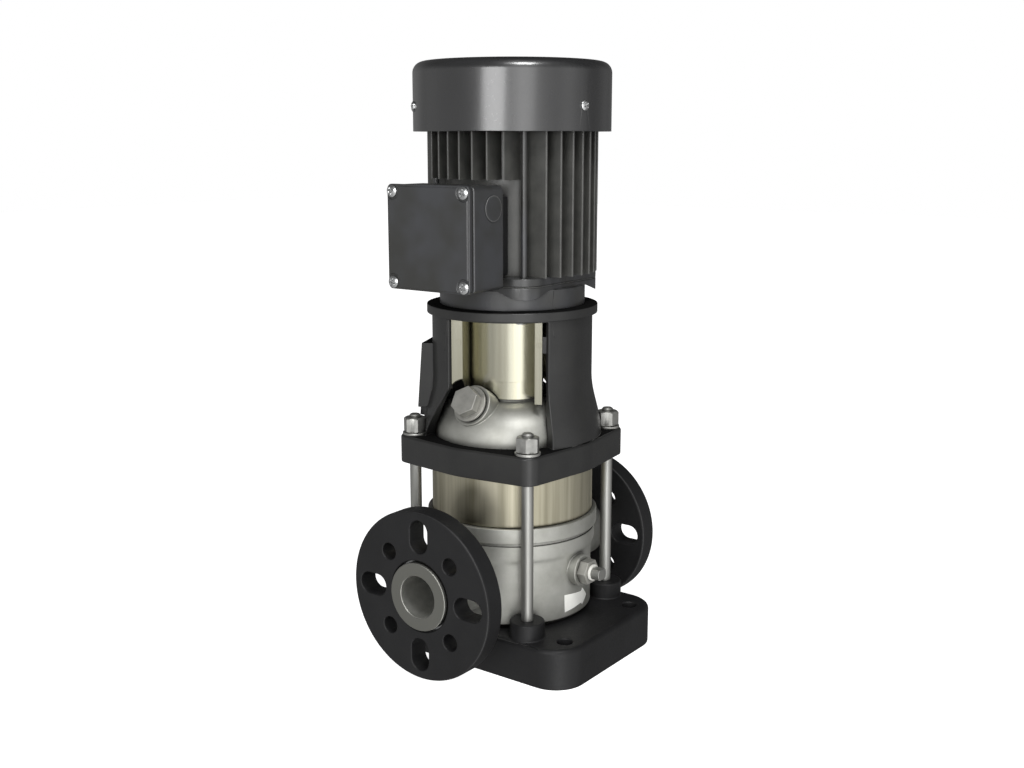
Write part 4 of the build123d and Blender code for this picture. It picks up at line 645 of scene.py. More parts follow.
class Recipe:
    """A geometry node tree with named inputs, run once and turned into a plain mesh."""

    def __init__(self, name: str) -> None:
        """Start an empty tree with one geometry output."""
        self.tree = bpy.data.node_groups.new(name, "GeometryNodeTree")
        self.tree.interface.new_socket("Geometry", in_out="OUTPUT", socket_type="NodeSocketGeometry")
        self.inputs: dict[str, str] = {}
        self.entry = self.tree.nodes.new("NodeGroupInput")
        (self.start,) = self.declare({"Points": "Geometry"})

    def declare(self, kinds: dict[str, str]) -> list[Socket]:
        """Add named inputs.

        Args:
            kinds: Kind of each input, such as Float, Int, Object or Material.

        Returns:
            The sockets that give their values.
        """
        for name, kind in kinds.items():
            socket = self.tree.interface.new_socket(name, in_out="INPUT", socket_type="NodeSocket" + kind)
            self.inputs[name] = socket.identifier
        return [self.entry.outputs[name] for name in kinds]

    def add(self, kind: str, settings: dict[str, Any], links: dict[Any, Any]) -> bpy.types.Node:
        """Add a node to this tree."""
        return add_node(self.tree, kind, settings, links)

    def maths(self, operation: str, first: Any, second: Any = 0.0) -> Socket:
        """Join two values by an operation of the Math node."""
        return self.add("ShaderNodeMath", {"operation": operation}, {0: first, 1: second}).outputs[0]

    def vector(self, **parts: Any) -> Socket:
        """Join values or sockets named X, Y and Z to a vector."""
        return self.add("ShaderNodeCombineXYZ", {}, parts).outputs["Vector"]

    def up_to(self, radius: Socket, square: Socket) -> Socket:
        """Give the Y of a circle about the origin.

        Args:
            radius: Its radius.
            square: Square of the X.

        Returns:
            The socket with the Y.
        """
        return self.maths("SQRT", self.maths("SUBTRACT", self.maths("MULTIPLY", radius, radius), square))

    def close(self, geometry: Socket, material: Socket) -> None:
        """End the tree with real geometry and its material.

        Args:
            geometry: Instances or geometry.
            material: Socket that holds the material.
        """
        real = self.add("GeometryNodeRealizeInstances", {}, {0: geometry})
        painted = self.add("GeometryNodeSetMaterial", {}, {"Geometry": real.outputs[0], "Material": material})
        self.add("NodeGroupOutput", {}, {"Geometry": painted.outputs["Geometry"]})

    def run(self, values: dict[str, Any], base: Mesh | None = None) -> Mesh:
        """Run the tree on a mesh.

        Args:
            values: Value of each named input.
            base: Mesh that the tree starts from, or none for an empty one.

        Returns:
            A plain mesh in metres.
        """
        carrier = link("carrier", base or bpy.data.meshes.new("start"))
        modifier = carrier.modifiers.new("recipe", "NODES")
        modifier.node_group = self.tree
        for name, value in values.items():
            modifier[self.inputs[name]] = value
        graph = bpy.context.evaluated_depsgraph_get()
        mesh = bpy.data.meshes.new_from_object(carrier.evaluated_get(graph))
        carrier.modifiers.remove(modifier)
        bpy.data.objects.remove(carrier)
        return mesh


def fastener_recipe() -> Recipe:
    """Build the tree that seats one fastener on each point.

    Returns:
        A recipe with the inputs Fastener, Twist, Seed and Material. Each point has its facing and its turn.
    """
    recipe = Recipe("fasteners on points")
    kinds = {"Fastener": "Object", "Twist": "Float", "Seed": "Int", "Material": "Material"}
    fastener, twist, seed, material = recipe.declare(kinds)
    shape = recipe.add("GeometryNodeObjectInfo", {}, {"Object": fastener})
    facing = recipe.add("GeometryNodeInputNamedAttribute", {"data_type": "FLOAT_VECTOR"}, {"Name": "facing"})
    upright = recipe.add("FunctionNodeAlignRotationToVector", {"axis": "Z"}, {"Vector": facing.outputs["Attribute"]})
    chance = recipe.add("FunctionNodeRandomValue", {"data_type": "FLOAT"}, {"Seed": seed})
    for name, value in (("Min", recipe.maths("MULTIPLY", twist, -1.0)), ("Max", twist)):
        target = [s for s in chance.inputs if s.name == name and s.type == "VALUE"][0]
        recipe.tree.links.new(value, target)
    own = recipe.add("GeometryNodeInputNamedAttribute", {"data_type": "FLOAT"}, {"Name": "turn"})
    angle = recipe.maths("ADD", [s for s in chance.outputs if s.type == "VALUE"][0], own.outputs["Attribute"])
    turns = {"Rotation": upright.outputs["Rotation"], "Rotate By": recipe.vector(Z=angle)}
    twisted = recipe.add("FunctionNodeRotateRotation", {"rotation_space": "LOCAL"}, turns)
    seats = {"Points": recipe.start, "Instance": shape.outputs["Geometry"], "Rotation": twisted.outputs["Rotation"]}
    recipe.close(recipe.add("GeometryNodeInstanceOnPoints", {}, seats).outputs["Instances"], material)
    return recipe


def fin_recipe() -> Recipe:
    """Build the tree of one bank of straight fins, trimmed to a circle round the shaft.

    Returns:
        A recipe with the fins' count, pitch, shell radius, tip radius, height, root, tip, nominal reach and material.
    """
    recipe = Recipe("bank of cooling fins")
    sizes = dict.fromkeys(("Pitch", "Shell Radius", "Tip Radius", "Height", "Root", "Tip", "Reach"), "Float")
    kinds = {"Count": "Int", **sizes, "Material": "Material"}
    count, pitch, shell, circle, height, root, tip, reach, material = recipe.declare(kinds)
    # Section of a fin: a trapezoid whose corners are rounded by nearly half of its tip
    fillet_share, fillet_steps = 0.46, 4
    trapezoid = {"Height": reach, "Bottom Width": root, "Top Width": tip, "Offset": 0.0}
    outline = recipe.add("GeometryNodeCurvePrimitiveQuadrilateral", {"mode": "TRAPEZOID"}, trapezoid)
    radius = recipe.maths("MULTIPLY", tip, fillet_share)
    corners = {"Curve": outline.outputs["Curve"], "Count": fillet_steps, "Radius": radius, "Limit Radius": True}
    filleted = recipe.add("GeometryNodeFilletCurve", {"mode": "POLY"}, corners)
    section = recipe.add("GeometryNodeFillCurve", {"mode": "NGONS"}, {"Curve": filleted.outputs["Curve"]})
    # One fin, raised from its section with a face at both ends
    lift = recipe.vector(Y=recipe.maths("MULTIPLY", reach, 0.5))
    moved = {"Geometry": section.outputs["Mesh"], "Translation": lift}
    footed = recipe.add("GeometryNodeTransform", {}, moved).outputs["Geometry"]
    growth = {"Mesh": footed, "Offset": recipe.vector(Z=height), "Offset Scale": 1.0, "Individual": False}
    raised = recipe.add("GeometryNodeExtrudeMesh", {"mode": "FACES"}, growth)
    floor = recipe.add("GeometryNodeFlipFaces", {}, {"Mesh": footed})
    joined = recipe.add("GeometryNodeJoinGeometry", {}, {})
    recipe.tree.links.new(floor.outputs["Mesh"], joined.inputs[0])
    recipe.tree.links.new(raised.outputs["Mesh"], joined.inputs[0])
    whole = {"Geometry": joined.outputs["Geometry"], "Distance": MICRON}
    fin = recipe.add("GeometryNodeMergeByDistance", {}, whole).outputs["Geometry"]
    # The bank: fins along X, each on the shell and stretched to the tip circle
    first = recipe.maths("MULTIPLY", recipe.maths("MULTIPLY", recipe.maths("SUBTRACT", count, 1.0), pitch), -0.5)
    row = {"Count": count, "Start Location": recipe.vector(X=first), "Offset": recipe.vector(X=pitch)}
    line = recipe.add("GeometryNodeMeshLine", {"mode": "OFFSET"}, row)
    place = recipe.add("GeometryNodeInputPosition", {}, {}).outputs["Position"]
    across = recipe.add("ShaderNodeSeparateXYZ", {}, {"Vector": place}).outputs["X"]
    square = recipe.maths("MULTIPLY", across, across)
    near, far = recipe.up_to(shell, square), recipe.up_to(circle, square)
    at_root = {"Geometry": line.outputs["Mesh"], "Position": recipe.vector(X=across, Y=near)}
    seated = recipe.add("GeometryNodeSetPosition", {}, at_root).outputs["Geometry"]
    stretch = recipe.maths("DIVIDE", recipe.maths("SUBTRACT", far, near), reach)
    fins = {"Points": seated, "Instance": fin, "Scale": recipe.vector(X=1.0, Y=stretch, Z=1.0)}
    recipe.close(recipe.add("GeometryNodeInstanceOnPoints", {}, fins).outputs["Instances"], material)
    return recipe


def thread_recipe() -> Recipe:
    """Build the tree of a screw thread that winds up round Z.

    Returns:
        A recipe with the inputs Radius, Pitch, Length and Material.
    """
    recipe = Recipe("screw thread")
    kinds = {"Radius": "Float", "Pitch": "Float", "Length": "Float", "Material": "Material"}
    radius, pitch, length, material = recipe.declare(kinds)
    steps, sides, ridge_share = 28, 4, 0.42
    turns = recipe.maths("DIVIDE", length, pitch)
    helix = {"Resolution": steps, "Rotations": turns, "Start Radius": radius, "End Radius": radius, "Height": length}
    path = recipe.add("GeometryNodeCurveSpiral", {}, helix)
    diamond = {"Resolution": sides, "Radius": recipe.maths("MULTIPLY", pitch, ridge_share)}
    ridge = recipe.add("GeometryNodeCurvePrimitiveCircle", {"mode": "RADIUS"}, diamond)
    sweep = {"Curve": path.outputs["Curve"], "Profile Curve": ridge.outputs["Curve"], "Fill Caps": True}
    recipe.close(recipe.add("GeometryNodeCurveToMesh", {}, sweep).outputs["Mesh"], material)
    return recipe


# The studio

# Brightness of the round wall, by degrees from the camera's side of it
WALL: tuple[Pair, ...] = (
    (-180, 0.03), (-150, 0.07), (-136, 0.09), (-120, 0.09), (-110, 0.13), (-96, 0.15), (-60, 0.15),
    (-30, 0.22), (-6, 0.28), (2, 0.70), (10, 1.0), (21, 0.92), (30, 0.34), (52, 0.26),
    (66, 0.33), (84, 0.19), (102, 0.06), (130, 0.07), (146, 0.04),
)  # fmt: skip


@dataclass
class Studio:
    """Camera, world light, softboxes and floor."""

    camera_mm: Point = (609.75, -821.42, 434.93)
    turn_deg: float = 36.6
    pitch_deg: float = 11.44
    focal_share: float = 1222.53 / 1024
    sensor_mm: float = 36.0
    floor_m: float = 12.0
    wall_strength: float = 3.4
    wall_fades: Pair = (0.0, 0.6)
    wall_levels: Pair = (1.0, 0.3)
    key_watts: float = 5.0
    top_watts: float = 5.5

    def build(self) -> None:
        """Set up the whole studio."""
        self.camera()
        self.world()
        self.lamp("key softbox", (330.0, -1100.0, 520.0), (0.0, 0.0, 250.0), 500.0, self.key_watts)
        self.lamp("top softbox", (520.0, -400.0, 1150.0), (0.0, 0.0, 200.0), 300.0, self.top_watts)
        self.floor()

    def camera(self) -> None:
        """Set the camera where the fit of the photograph puts it."""
        data = bpy.data.cameras.new("camera")
        data.sensor_width = self.sensor_mm
        data.lens = self.sensor_mm * self.focal_share
        camera = link("camera", data)
        camera.location = Vector(self.camera_mm) * MM
        camera.rotation_euler = (math.radians(90 - self.pitch_deg), 0, math.radians(self.turn_deg))
        bpy.context.scene.camera = camera

    def world(self) -> None:
        """Light the scene from a round studio wall with softer and brighter stretches."""
        scene = bpy.context.scene
        scene.view_settings.view_transform = "Standard"
        world = bpy.data.worlds.new("studio")
        scene.world = world
        world.use_nodes = True
        tree = world.node_tree
        tree.nodes.clear()
        sky = add_node(tree, "ShaderNodeTexCoord", {}, {}).outputs["Generated"]
        way = add_node(tree, "ShaderNodeSeparateXYZ", {}, {"Vector": sky}).outputs
        angle = add_node(tree, "ShaderNodeMath", {"operation": "ARCTAN2"}, {0: way["Y"], 1: way["X"]}).outputs[0]
        share = banded(tree, angle, (-math.pi, math.pi), (0.0, 1.0))
        wall = add_node(tree, "ShaderNodeValToRGB", {}, {"Fac": share})
        ramp = wall.color_ramp
        ramp.interpolation = "EASE"
        camera_side = (self.turn_deg + 90) - 180
        places = sorted((((camera_side + a + 180) % 360) / 360, v) for a, v in WALL)
        while len(ramp.elements) < len(places):
            ramp.elements.new(0.5)
        for element, (at, value) in zip(ramp.elements, places):
            element.position = at
            element.color = (value, value, value, 1)
        low = banded(tree, way["Z"], self.wall_fades, self.wall_levels, "SMOOTHSTEP")
        strength = add_node(tree, "ShaderNodeMath", {"operation": "MULTIPLY"}, {0: low, 1: self.wall_strength})
        glow = {"Color": wall.outputs["Color"], "Strength": strength.outputs[0]}
        studio = add_node(tree, "ShaderNodeBackground", {}, glow).outputs[0]
        paper = add_node(tree, "ShaderNodeBackground", {}, {"Color": linear("#ffffff"), "Strength": 1.0}).outputs[0]
        direct = add_node(tree, "ShaderNodeLightPath", {}, {}).outputs["Is Camera Ray"]
        seen = add_node(tree, "ShaderNodeMixShader", {}, {0: direct, 1: studio, 2: paper})
        add_node(tree, "ShaderNodeOutputWorld", {}, {"Surface": seen.outputs[0]})

    def floor(self) -> None:
        """Lay a plain pale floor that takes a soft shadow."""
        mesh = bpy.data.meshes.new("floor")
        half = self.floor_m / 2
        mesh.from_pydata([(-half, -half, 0), (half, -half, 0), (half, half, 0), (-half, half, 0)], [], [(0, 1, 2, 3)])
        floor = link("floor", mesh)
        # White card that glows a little, so that it stays as pale as the paper behind
        matt = bpy.data.materials.new("matt_white_card")
        matt.use_nodes = True
        look = {"Base Color": linear("#e8e8e8"), "Roughness": 0.9, "Specular IOR Level": 0.1}
        glow = {"Emission Color": linear("#ffffff"), "Emission Strength": 0.97}
        for name, value in {**look, **glow}.items():
            matt.node_tree.nodes["Principled BSDF"].inputs[name].default_value = value
        mesh.materials.append(matt)
        floor.visible_glossy = False
        floor.visible_diffuse = False

    def lamp(self, name: str, at: Point, towards: Point, size: float, watts: float) -> None:
        """Hang a square softbox.

        Args:
            name: Name of the lamp.
            at: Place in millimetres.
            towards: Point that it faces, in millimetres.
            size: Side in millimetres.
            watts: Power.
        """
        data = bpy.data.lights.new(name, "AREA")
        data.size = size * MM
        data.energy = watts
        lamp = link(name, data)
        lamp.location = Vector(at) * MM
        lamp.rotation_euler = (Vector(towards) - Vector(at)).to_track_quat("-Z", "Y").to_euler()


# Sub-assemblies, from the floor up


@dataclass
class Seat:
    """Where a fastener sits: a point in millimetres, the way its top faces and its turn."""

    at: Point
    facing: Point
    turn_deg: float = 0.0


def seats_mesh(seats: Sequence[Seat]) -> Mesh:
    """Make a mesh of points that carry their directions.

    Args:
        seats: The seats.

    Returns:
        A mesh of loose points with the attributes facing and turn.
    """
    mesh = bpy.data.meshes.new("seats")
    mesh.from_pydata([Vector(seat.at) * MM for seat in seats], [], [])
    mesh.attributes.new("facing", "FLOAT_VECTOR", "POINT")
    mesh.attributes.new("turn", "FLOAT", "POINT")
    facing, turn = mesh.attributes["facing"].data, mesh.attributes["turn"].data
    for value, angle, seat in zip(facing, turn, seats):
        value.vector = seat.facing
        angle.value = math.radians(seat.turn_deg)
    return mesh


class Fasteners(SubAssembly):
    """Screws, nuts and washers that one tree seats on their points."""

    def __init__(self) -> None:
        """Build the tree once."""
        self.recipe = fastener_recipe()

    def seat(
        self,
        name: str,
        shape: BMesh,
        seats: Sequence[Seat],
        finish: Finish,
        slot: str,
        nodes: Sequence[str],
        twist_deg: float = 0.0,
    ) -> None:
        """Seat one fastener on each point.

        Args:
            name: Name of the piece.
            shape: The fastener in millimetres, seated on z 0.
            seats: Where the fasteners sit.
            finish: Their finish.
            slot: Material slot of the record.
            nodes: Nodes of the frame that they stand for.
            twist_deg: How far each may be turned on its own axis.
        """
        shape.transform(TO_METRES)
        one = link(name + "_one", plain(name + "_one", shape))
        twist = math.radians(twist_deg)
        values = {"Fastener": one, "Twist": twist, "Seed": len(name), "Material": finish.material()}
        made = self.recipe.run(values, seats_mesh(seats))
        bpy.data.objects.remove(one)
        smooth_mesh(made)
        piece = self.place(name, made, finish, FIXED, slot)
        if nodes:
            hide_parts(*nodes)


@dataclass
class Base(SubAssembly):
    """Base plate and the two loose flanges: cast iron under satin paint."""

    edge: float = 1.1
    flange_edge: float = 0.9
    steps: int = 3

    def build(self) -> None:
        """Make and dress the pieces."""
        self.eased("base_plate", IRON_PAINT, self.edge, "black_paint", steps=self.steps)
        for flange in ("inlet_flange", "outlet_flange"):
            self.eased(flange, IRON_PAINT, self.flange_edge, "black_paint", flange, self.steps)
        self.dress(ZINC_PLATE, "flange_retaining_rings")


@dataclass
class Housing(SubAssembly):
    """Pump housing with the flow arrow, and the sleeve above it."""

    edge: float = 0.5
    face_y: float = 126.9
    port_z: float = 75.0
    bore_r: float = 18.5
    bore_from_y: float = 72.0
    arrow_r: float = 68.55
    arrow_cuts: int = 7
    film: float = 0.12
    sleeve_r: float = 69.0
    sleeve_wall: float = 1.5
    sleeve_bottom: float = 121.5
    sleeve_top: float = 166.0
    sleeve_edges: tuple[float, ...] = (0.3, 1.3, 1.0, 0.3)
    sleeve_steps: int = 192

    def build(self) -> None:
        """Make and dress the pieces."""
        housing = self.eased("pump_housing", BLASTED, self.edge, "cast_stainless")
        housing.data.materials.append(FACE_STEEL.material())
        housing.data.materials.append(SHADED_BORE_STEEL.material())
        for face in housing.data.polygons:
            off_axis = math.hypot(face.center.x, face.center.z - self.port_z * MM)
            if abs(face.center.y) > self.face_y * MM:
                face.material_index = 1
            # Faces inside the ports take the bore finish with its painted depth shade
            elif abs(face.center.y) > self.bore_from_y * MM and off_axis < self.bore_r * MM:
                face.material_index = 2
        self.sleeve()
        self.arrow()

    def sleeve(self) -> None:
        """Make the sleeve, a thin tube with eased ends."""
        radii, levels = (self.sleeve_r - self.sleeve_wall, self.sleeve_r), (self.sleeve_bottom, self.sleeve_top)
        shape = pipe(radii, levels, self.sleeve_edges, self.sleeve_steps)
        tube = self.from_bmesh("outer_sleeve_tube", shape, SLEEVE_STEEL, "brushed_stainless")
        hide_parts("outer_sleeve")

    def arrow(self) -> None:
        """Lay a film arrow round the housing, pointing with the flow."""
        # Corners as degrees round the shaft and height
        outline = ((-13.9, 57.9), (5.0, 55.2), (7.4, 57.3), (14.6, 48.6), (7.4, 42.3), (4.6, 44.6), (-13.4, 42.4))
        bm = bmesh.new()
        bm.faces.new([bm.verts.new((degrees, height, 0)) for degrees, height in outline])
        bmesh.ops.triangulate(bm, faces=bm.faces)
        bmesh.ops.subdivide_edges(bm, edges=bm.edges, cuts=self.arrow_cuts, use_grid_fill=True)
        for vert in bm.verts:
            vert.co = around(self.arrow_r, math.radians(vert.co.x), vert.co.y)
        raised = bmesh.ops.extrude_face_region(bm, geom=list(bm.faces))
        for vert in (item for item in raised["geom"] if isinstance(item, bmesh.types.BMVert)):
            vert.co += Vector((vert.co.x, vert.co.y, 0)).normalized() * self.film
        bmesh.ops.recalc_face_normals(bm, faces=bm.faces)
        self.from_bmesh("flow_arrow_film", bm, FILM, "collar_nylon")


@dataclass
class TieRods(SubAssembly):
    """Four tie rods with their threads, washers and nuts."""

    fasteners: Fasteners
    offset: float = 59.0
    nut_turns: tuple[float, ...] = (-5.0, 11.0, 27.0, -1.5)
    rod_dia: float = 9.8
    rod_steps: int = 40
    rod_bottom: float = 20.0
    rod_top: float = 205.0
    socket_dia: float = 8.8
    socket_top: float = 48.0
    foot_edge: float = 0.8
    rise: float = 0.3
    runout: float = 0.6
    tip_edge: float = 0.7
    thread_length: float = 18.0
    thread_depth: float = 0.5
    thread_inset: float = 0.8
    thread_gap: float = 0.05
    pitch: float = 1.25
    washer_seat: float = 187.5
    washer_dia: float = 21.0
    washer_gap: float = 0.1
    washer: float = 2.0
    washer_edges: tuple[float, ...] = (0.1, 0.3, 0.3, 0.2)
    washer_steps: int = 48
    nut_flats: float = 17.0
    nut_height: float = 12.5

    def corners(self, height: float) -> list[Seat]:
        """Give the four corners at a height."""
        places = [(x * self.offset, y * self.offset, height) for x in (-1, 1) for y in (-1, 1)]
        return [Seat(at, (0, 0, 1), turn) for at, turn in zip(places, self.nut_turns)]

    def build(self) -> None:
        """Make and dress the pieces."""
        seat = self.fasteners.seat
        seat("tie_rod_bars", self.bar(), self.corners(self.rod_bottom), BAR_STEEL, "rod_steel", ["tie_rods"])
        start = self.corners(self.rod_top - self.thread_length + self.thread_inset)
        seat("tie_rod_threads", self.thread(), start, BAR_STEEL, "rod_steel", [])
        radii = (self.rod_dia / 2 + self.washer_gap, self.washer_dia / 2)
        ring = pipe(radii, (0, self.washer), self.washer_edges, self.washer_steps, 3)
        under = self.corners(self.washer_seat)
        seat("tie_rod_washer_rings", ring, under, NUT_STEEL, "rod_steel", ["tie_rod_washers"])
        nut = hexagon_nut(self.nut_flats, self.nut_height, self.rod_dia)
        above = self.corners(self.washer_seat + self.washer)
        seat("tie_rod_hex_nuts", nut, above, NUT_STEEL, "rod_steel", ["tie_rod_nuts"])

    def bar(self) -> BMesh:
        """Draw a rod: a slimmer foot in its socket, the bar and the core of its thread.

        Returns:
            The rod in millimetres, from z 0 up.
        """
        foot, radius, tip = self.socket_dia / 2, self.rod_dia / 2, self.tip_edge
        core = radius - self.thread_depth
        length, socket = self.rod_top - self.rod_bottom, self.socket_top - self.rod_bottom
        bare = length - self.thread_length
        sole, step = foot - self.foot_edge, socket + self.rise
        low = [(0, 0), (sole, 0), (foot, self.foot_edge), (foot, socket), (radius, step)]
        high = [(radius, bare), (core, bare + self.runout), (core, length - tip), (core - tip, length), (0, length)]
        return spun(low + high, self.rod_steps)

    def thread(self) -> BMesh:
        """Wind the thread of one rod.

        Returns:
            The thread in millimetres, from z 0 up.
        """
        values = {
            "Radius": (self.rod_dia / 2 - self.thread_depth + self.thread_gap) * MM,
            "Pitch": self.pitch * MM,
            "Length": (self.thread_length - 2 * self.thread_inset) * MM,
            "Material": BAR_STEEL.material(),
        }
        bm = bmesh.new()
        bm.from_mesh(thread_recipe().run(values))
        bm.transform(Matrix.Scale(1 / MM, 4))
        return bm


@dataclass
class Head(SubAssembly):
    """Pump head with its priming plug and shaft seal."""

    edge: float = 0.5
    plug_edge: float = 0.3

    def build(self) -> None:
        """Make and dress the pieces."""
        self.eased("pump_head", BLASTED, self.edge, "cast_stainless")
        self.eased("priming_plug", PLUG_STEEL, self.plug_edge, "plug_steel", "priming_plug")
        self.dress(FIBRE, "priming_plug_washer")
        self.dress(GUARD_STEEL, "seal_gland")
        self.dress(ZINC_PLATE, "gland_screws")
        self.dress(CARBON, "seal_seat", "seal_turning_ring", "shaft_bushes")


@dataclass
class Stool(SubAssembly):
    """Motor stool with its coupling guards.

    The corners of its four lugs are trimmed flush with the wall, and the side pad runs down to the nut beside it.
    """

    edge: float = 0.7
    level_rise: float = 0.95
    wall_r: float = 67.5
    lug_r: float = 69.0
    lugs_bottom: float = 263.0
    lugs_top: float = 279.0
    nut_offset: float = 59.0
    pocket_r: float = 13.5
    pocket_top: float = 240.0
    pocket_near: float = 0.1
    pocket_drop: float = 30.0
    pocket_slant: float = 2.2
    pad_turn_deg: float = -156.0
    roll_low: float = 36.0
    roll_high: float = 40.0
    roll_facing: float = 0.97

    def build(self) -> None:
        """Make and dress the pieces."""
        stool = self.eased("motor_stool", LIT_STOOL_PAINT, self.edge, "black_paint")
        stool.data.materials.append(SHADED_LEDGE_PAINT.material())
        # Faces that look up take the dark level paint: painted shade on the tops
        for face in stool.data.polygons:
            if face.normal.z > self.level_rise:
                face.material_index = 1
        pad_way = Vector(around(1.0, math.radians(self.pad_turn_deg)))
        for vert in stool.data.vertices:
            x, y, z = vert.co / MM
            out = math.hypot(x, y)
            if self.wall_r < out < self.lug_r and self.lugs_bottom < z < self.lugs_top:
                vert.co.xy *= self.wall_r / out
            near_nut = math.hypot(x + self.nut_offset, y + self.nut_offset) < self.pocket_r
            if near_nut and abs(z - self.pocket_top) < self.pocket_near:
                vert.co += pad_way * self.pocket_slant * MM
                vert.co.z -= self.pocket_drop * MM
        for side in ("front", "rear"):
            guard = self.eased(f"coupling_guard_{side}", GUARD_STEEL, 0.0, "polished_stainless")
            guard.modifiers.clear()
            self.roll(guard.data)
        self.dress(GUARD_STEEL, "guard_screws")

    def roll(self, mesh: Mesh) -> None:
        """Shade the rolled middle of a guard as a true cylinder and its bends as flat sheet.

        Args:
            mesh: Mesh of the guard, in metres.
        """
        normals: list[Vector] = []
        for face in mesh.polygons:
            centre = Vector((face.center.x, face.center.y, 0.0))
            facing = face.normal.dot(centre.normalized())
            rolled = abs(facing) > self.roll_facing and self.roll_low < centre.length / MM < self.roll_high
            for index in face.vertices:
                spot = mesh.vertices[index].co
                outward = Vector((spot.x, spot.y, 0.0)).normalized() * math.copysign(1.0, facing)
                normals.append(outward if rolled else face.normal.copy())
        mesh.normals_split_custom_set(normals)


@dataclass
class Motor(SubAssembly):
    """Finned motor between its end shields, with the fan cover."""

    fasteners: Fasteners
    shield_edge: float = 0.6
    bottom: float = 325.6
    top: float = 439.0
    shell_r: float = 54.0
    shell_edges: tuple[float, ...] = (0.0, 0.4, 0.4, 0.0)
    shell_steps: int = 128
    bore_r: float = 48.0
    tip_r: float = 70.4
    count: int = 7
    pitch: float = 12.0
    root: float = 3.0
    root_sunk: float = 0.9
    tip: float = 1.9
    reach: float = 12.0
    fin_feet: tuple[float, ...] = (325.6, 325.6, 402.0, 325.6)
    pad_width: float = 64.0
    pad_bottom: float = 327.5
    pad_top: float = 389.5
    pad_y: float = -68.0
    pad_edge: float = 1.5
    pad_near: float = 0.01
    cover_edge: float = 0.4
    cover_r: float = 81.0
    cover_screw: Point = (8.0, 2.4, 1.3)
    cover_screw_z: float = 458.5
    cover_screw_angles: tuple[float, ...] = (-10.0, 110.0, 230.0)
    twist_deg: float = 40.0

    def build(self) -> None:
        """Make and dress the pieces."""
        self.eased("drive_end_shield", MOTOR_PAINT, self.shield_edge, "black_paint")
        self.stator()
        self.dress(MOTOR_PAINT, "rear_end_shield")
        self.eased("fan_cover", COVER_PAINT, self.cover_edge, "black_paint", joined=False)
        self.dress(MOTOR_PAINT, "stay_bolts")
        self.dress(ZINC_PLATE, "motor_bolts")
        ways = [math.radians(angle) for angle in self.cover_screw_angles]
        seats = [Seat(around(self.cover_r, way, self.cover_screw_z), around(1.0, way)) for way in ways]
        screw, nodes = crossed_screw(*self.cover_screw), ["fan_cover_screws"]
        self.fasteners.seat("fan_cover_screw_heads", screw, seats, ZINC_PLATE, "plated_screws", nodes, self.twist_deg)

    def pad(self) -> Mesh:
        """Make the block that seats the terminal box.

        Returns:
            The block in metres.
        """
        block = bmesh.new()
        bmesh.ops.create_cube(block, size=1.0)
        depth = -self.pad_y - self.bore_r
        middle = (0, self.pad_y * MM + depth / 2 * MM, (self.pad_bottom + self.pad_top) / 2 * MM)
        sides = (self.pad_width * MM, depth * MM, (self.pad_top - self.pad_bottom) * MM, 1)
        block.transform(Matrix.Translation(middle) @ Matrix.Diagonal(sides))
        edge, steps, roundness = self.pad_edge * MM, 3, 0.5
        bmesh.ops.bevel(block, geom=block.edges[:], offset=edge, segments=steps, affect="EDGES", profile=roundness)
        return plain("pad", block)

    def stator(self) -> None:
        """Join the stator shell, its terminal box seat and four banks of fins."""
        recipe = fin_recipe()
        joined = pipe((self.bore_r, self.shell_r), (self.bottom, self.top), self.shell_edges, self.shell_steps)
        joined.transform(TO_METRES)
        joined.from_mesh(self.pad())
        for turn, foot in zip((0.0, 90.0, 180.0, 270.0), self.fin_feet):
            values = {
                "Count": self.count,
                "Pitch": self.pitch * MM,
                "Shell Radius": (self.shell_r - self.root_sunk) * MM,
                "Tip Radius": self.tip_r * MM,
                "Height": (self.top - foot) * MM,
                "Root": self.root * MM,
                "Tip": self.tip * MM,
                "Reach": self.reach * MM,
                "Material": LIT_FIN_PAINT.material(),
            }
            bank = recipe.run(values)
            bank.transform(Matrix.Translation((0, 0, foot * MM)) @ Matrix.Rotation(math.radians(turn), 4, "Z"))
            joined.from_mesh(bank)
        mesh = plain("stator_fins", joined)
        smooth_mesh(mesh)
        fins = self.place("stator_housing_finned", mesh, LIT_FIN_PAINT, FIXED, "black_paint")
        # The faces of the terminal box seat take the darker iron paint: painted shade beside the box
        mesh.materials.append(IRON_PAINT.material())
        under, over = self.pad_bottom - self.pad_near, self.pad_top + self.pad_near
        for face in mesh.polygons:
            if all(under < mesh.vertices[index].co.z / MM < over for index in face.vertices):
                face.material_index = 1
        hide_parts("stator_housing")


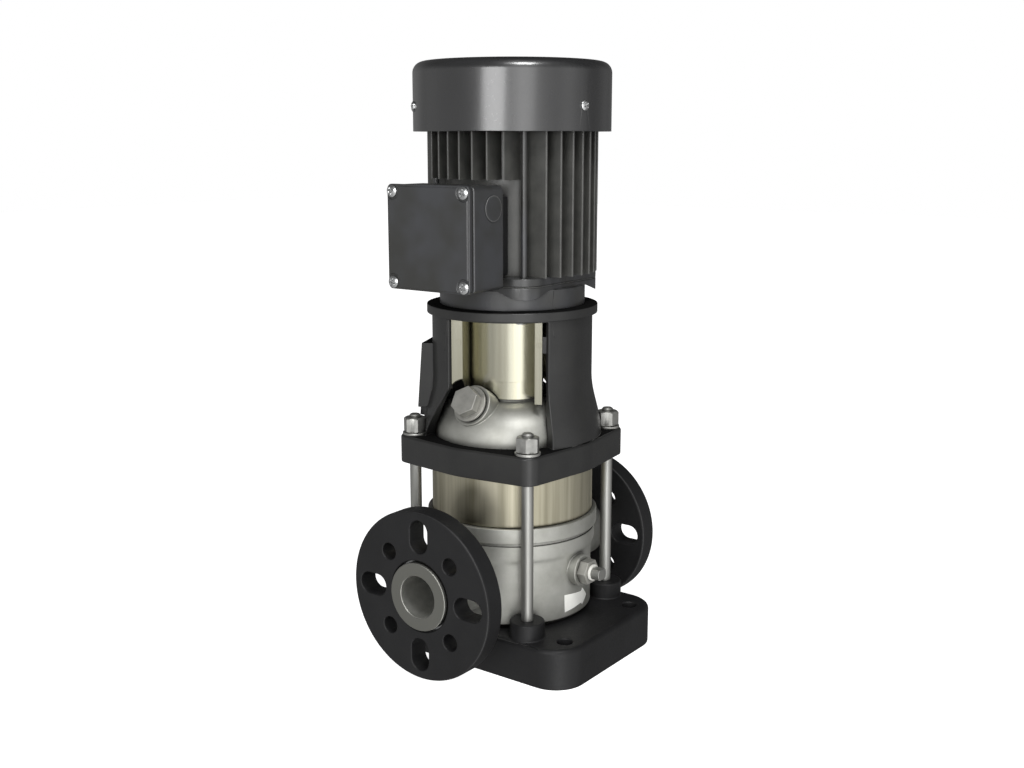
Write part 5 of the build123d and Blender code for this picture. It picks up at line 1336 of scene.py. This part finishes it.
@dataclass
class TerminalBox(SubAssembly):
    """Terminal box with its lid, screws and blanked cable entries."""

    fasteners: Fasteners
    edge: float = 0.8
    lid_edge: float = 0.45
    plug_edge: float = 0.25
    lid_face: float = -108.2
    middle_z: float = 358.5
    screw: Point = (9.4, 2.5, 1.5)
    screw_offset: float = 35.3
    twist_deg: float = 40.0

    def build(self) -> None:
        """Make and dress the pieces."""
        self.eased("terminal_box", MOTOR_PAINT, self.edge, "black_paint")
        self.eased("terminal_box_lid", MOTOR_PAINT, self.lid_edge, "black_paint")
        self.eased("cable_entry_plugs", MOTOR_PAINT, self.plug_edge, "entry_plastic")
        self.dress(RUBBER, "terminal_box_gasket")
        self.dress(BOARD_PLASTIC, "terminal_board")
        self.dress(BRASS, "terminal_studs")
        off, nodes = self.screw_offset, ["lid_screws"]
        places = [(x * off, self.lid_face, self.middle_z + z * off) for x in (-1, 1) for z in (-1, 1)]
        seats, screw = [Seat(at, (0, -1, 0)) for at in places], crossed_screw(*self.screw)
        self.fasteners.seat("lid_screw_heads", screw, seats, ZINC_PLATE, "plated_screws", nodes, self.twist_deg)


@dataclass
class DrainValve(SubAssembly):
    """Drain valve on the side of the housing."""

    body_edge: float = 0.35
    collar_edge: float = 0.3
    stem_edge: float = 0.25

    def build(self) -> None:
        """Make and dress the pieces."""
        self.eased("drain_valve_body", PLUG_STEEL, self.body_edge, "plug_steel")
        self.eased("drain_valve_collar", NYLON, self.collar_edge, "collar_nylon")
        self.eased("drain_valve_stem", BAR_STEEL, self.stem_edge, "plug_steel", "drain_stem")


@dataclass
class Insides(SubAssembly):
    """Everything behind the sleeve, in the stool and in the motor."""

    stages: int = 4

    def build(self) -> None:
        """Dress the nodes, which keep their own shapes."""
        for stage in range(1, self.stages + 1):
            self.dress(STAGE_STEEL, f"stage_chamber_{stage}", f"impeller_{stage}")
        self.dress(STAGE_STEEL, "top_diffuser", "bearing_spider")
        turned = ("pump_shaft", "motor_shaft", "shaft_spacers", "bearing_inner_rings", "bearing_outer_rings")
        self.dress(SHAFT_STEEL, *turned)
        self.dress(COUPLING_IRON, "coupling_halves")
        self.dress(ZINC_PLATE, "coupling_screws")
        self.dress(LAMINATION, "stator_core", "rotor_core")
        self.dress(WINDING, "end_windings")
        self.dress(FAN_PLASTIC, "cooling_fan")
        self.dress(RUBBER, "sleeve_seal_rings")


def main() -> None:
    """Build the pump and the studio in order."""
    Studio().build()
    fasteners = Fasteners()
    for part in (
        Base(),
        Housing(),
        TieRods(fasteners),
        Head(),
        Stool(),
        Motor(fasteners),
        TerminalBox(fasteners),
        DrainValve(),
        Insides(),
    ):
        part.build()
    bpy.context.view_layer.update()


if __name__ == "__main__":
    main()
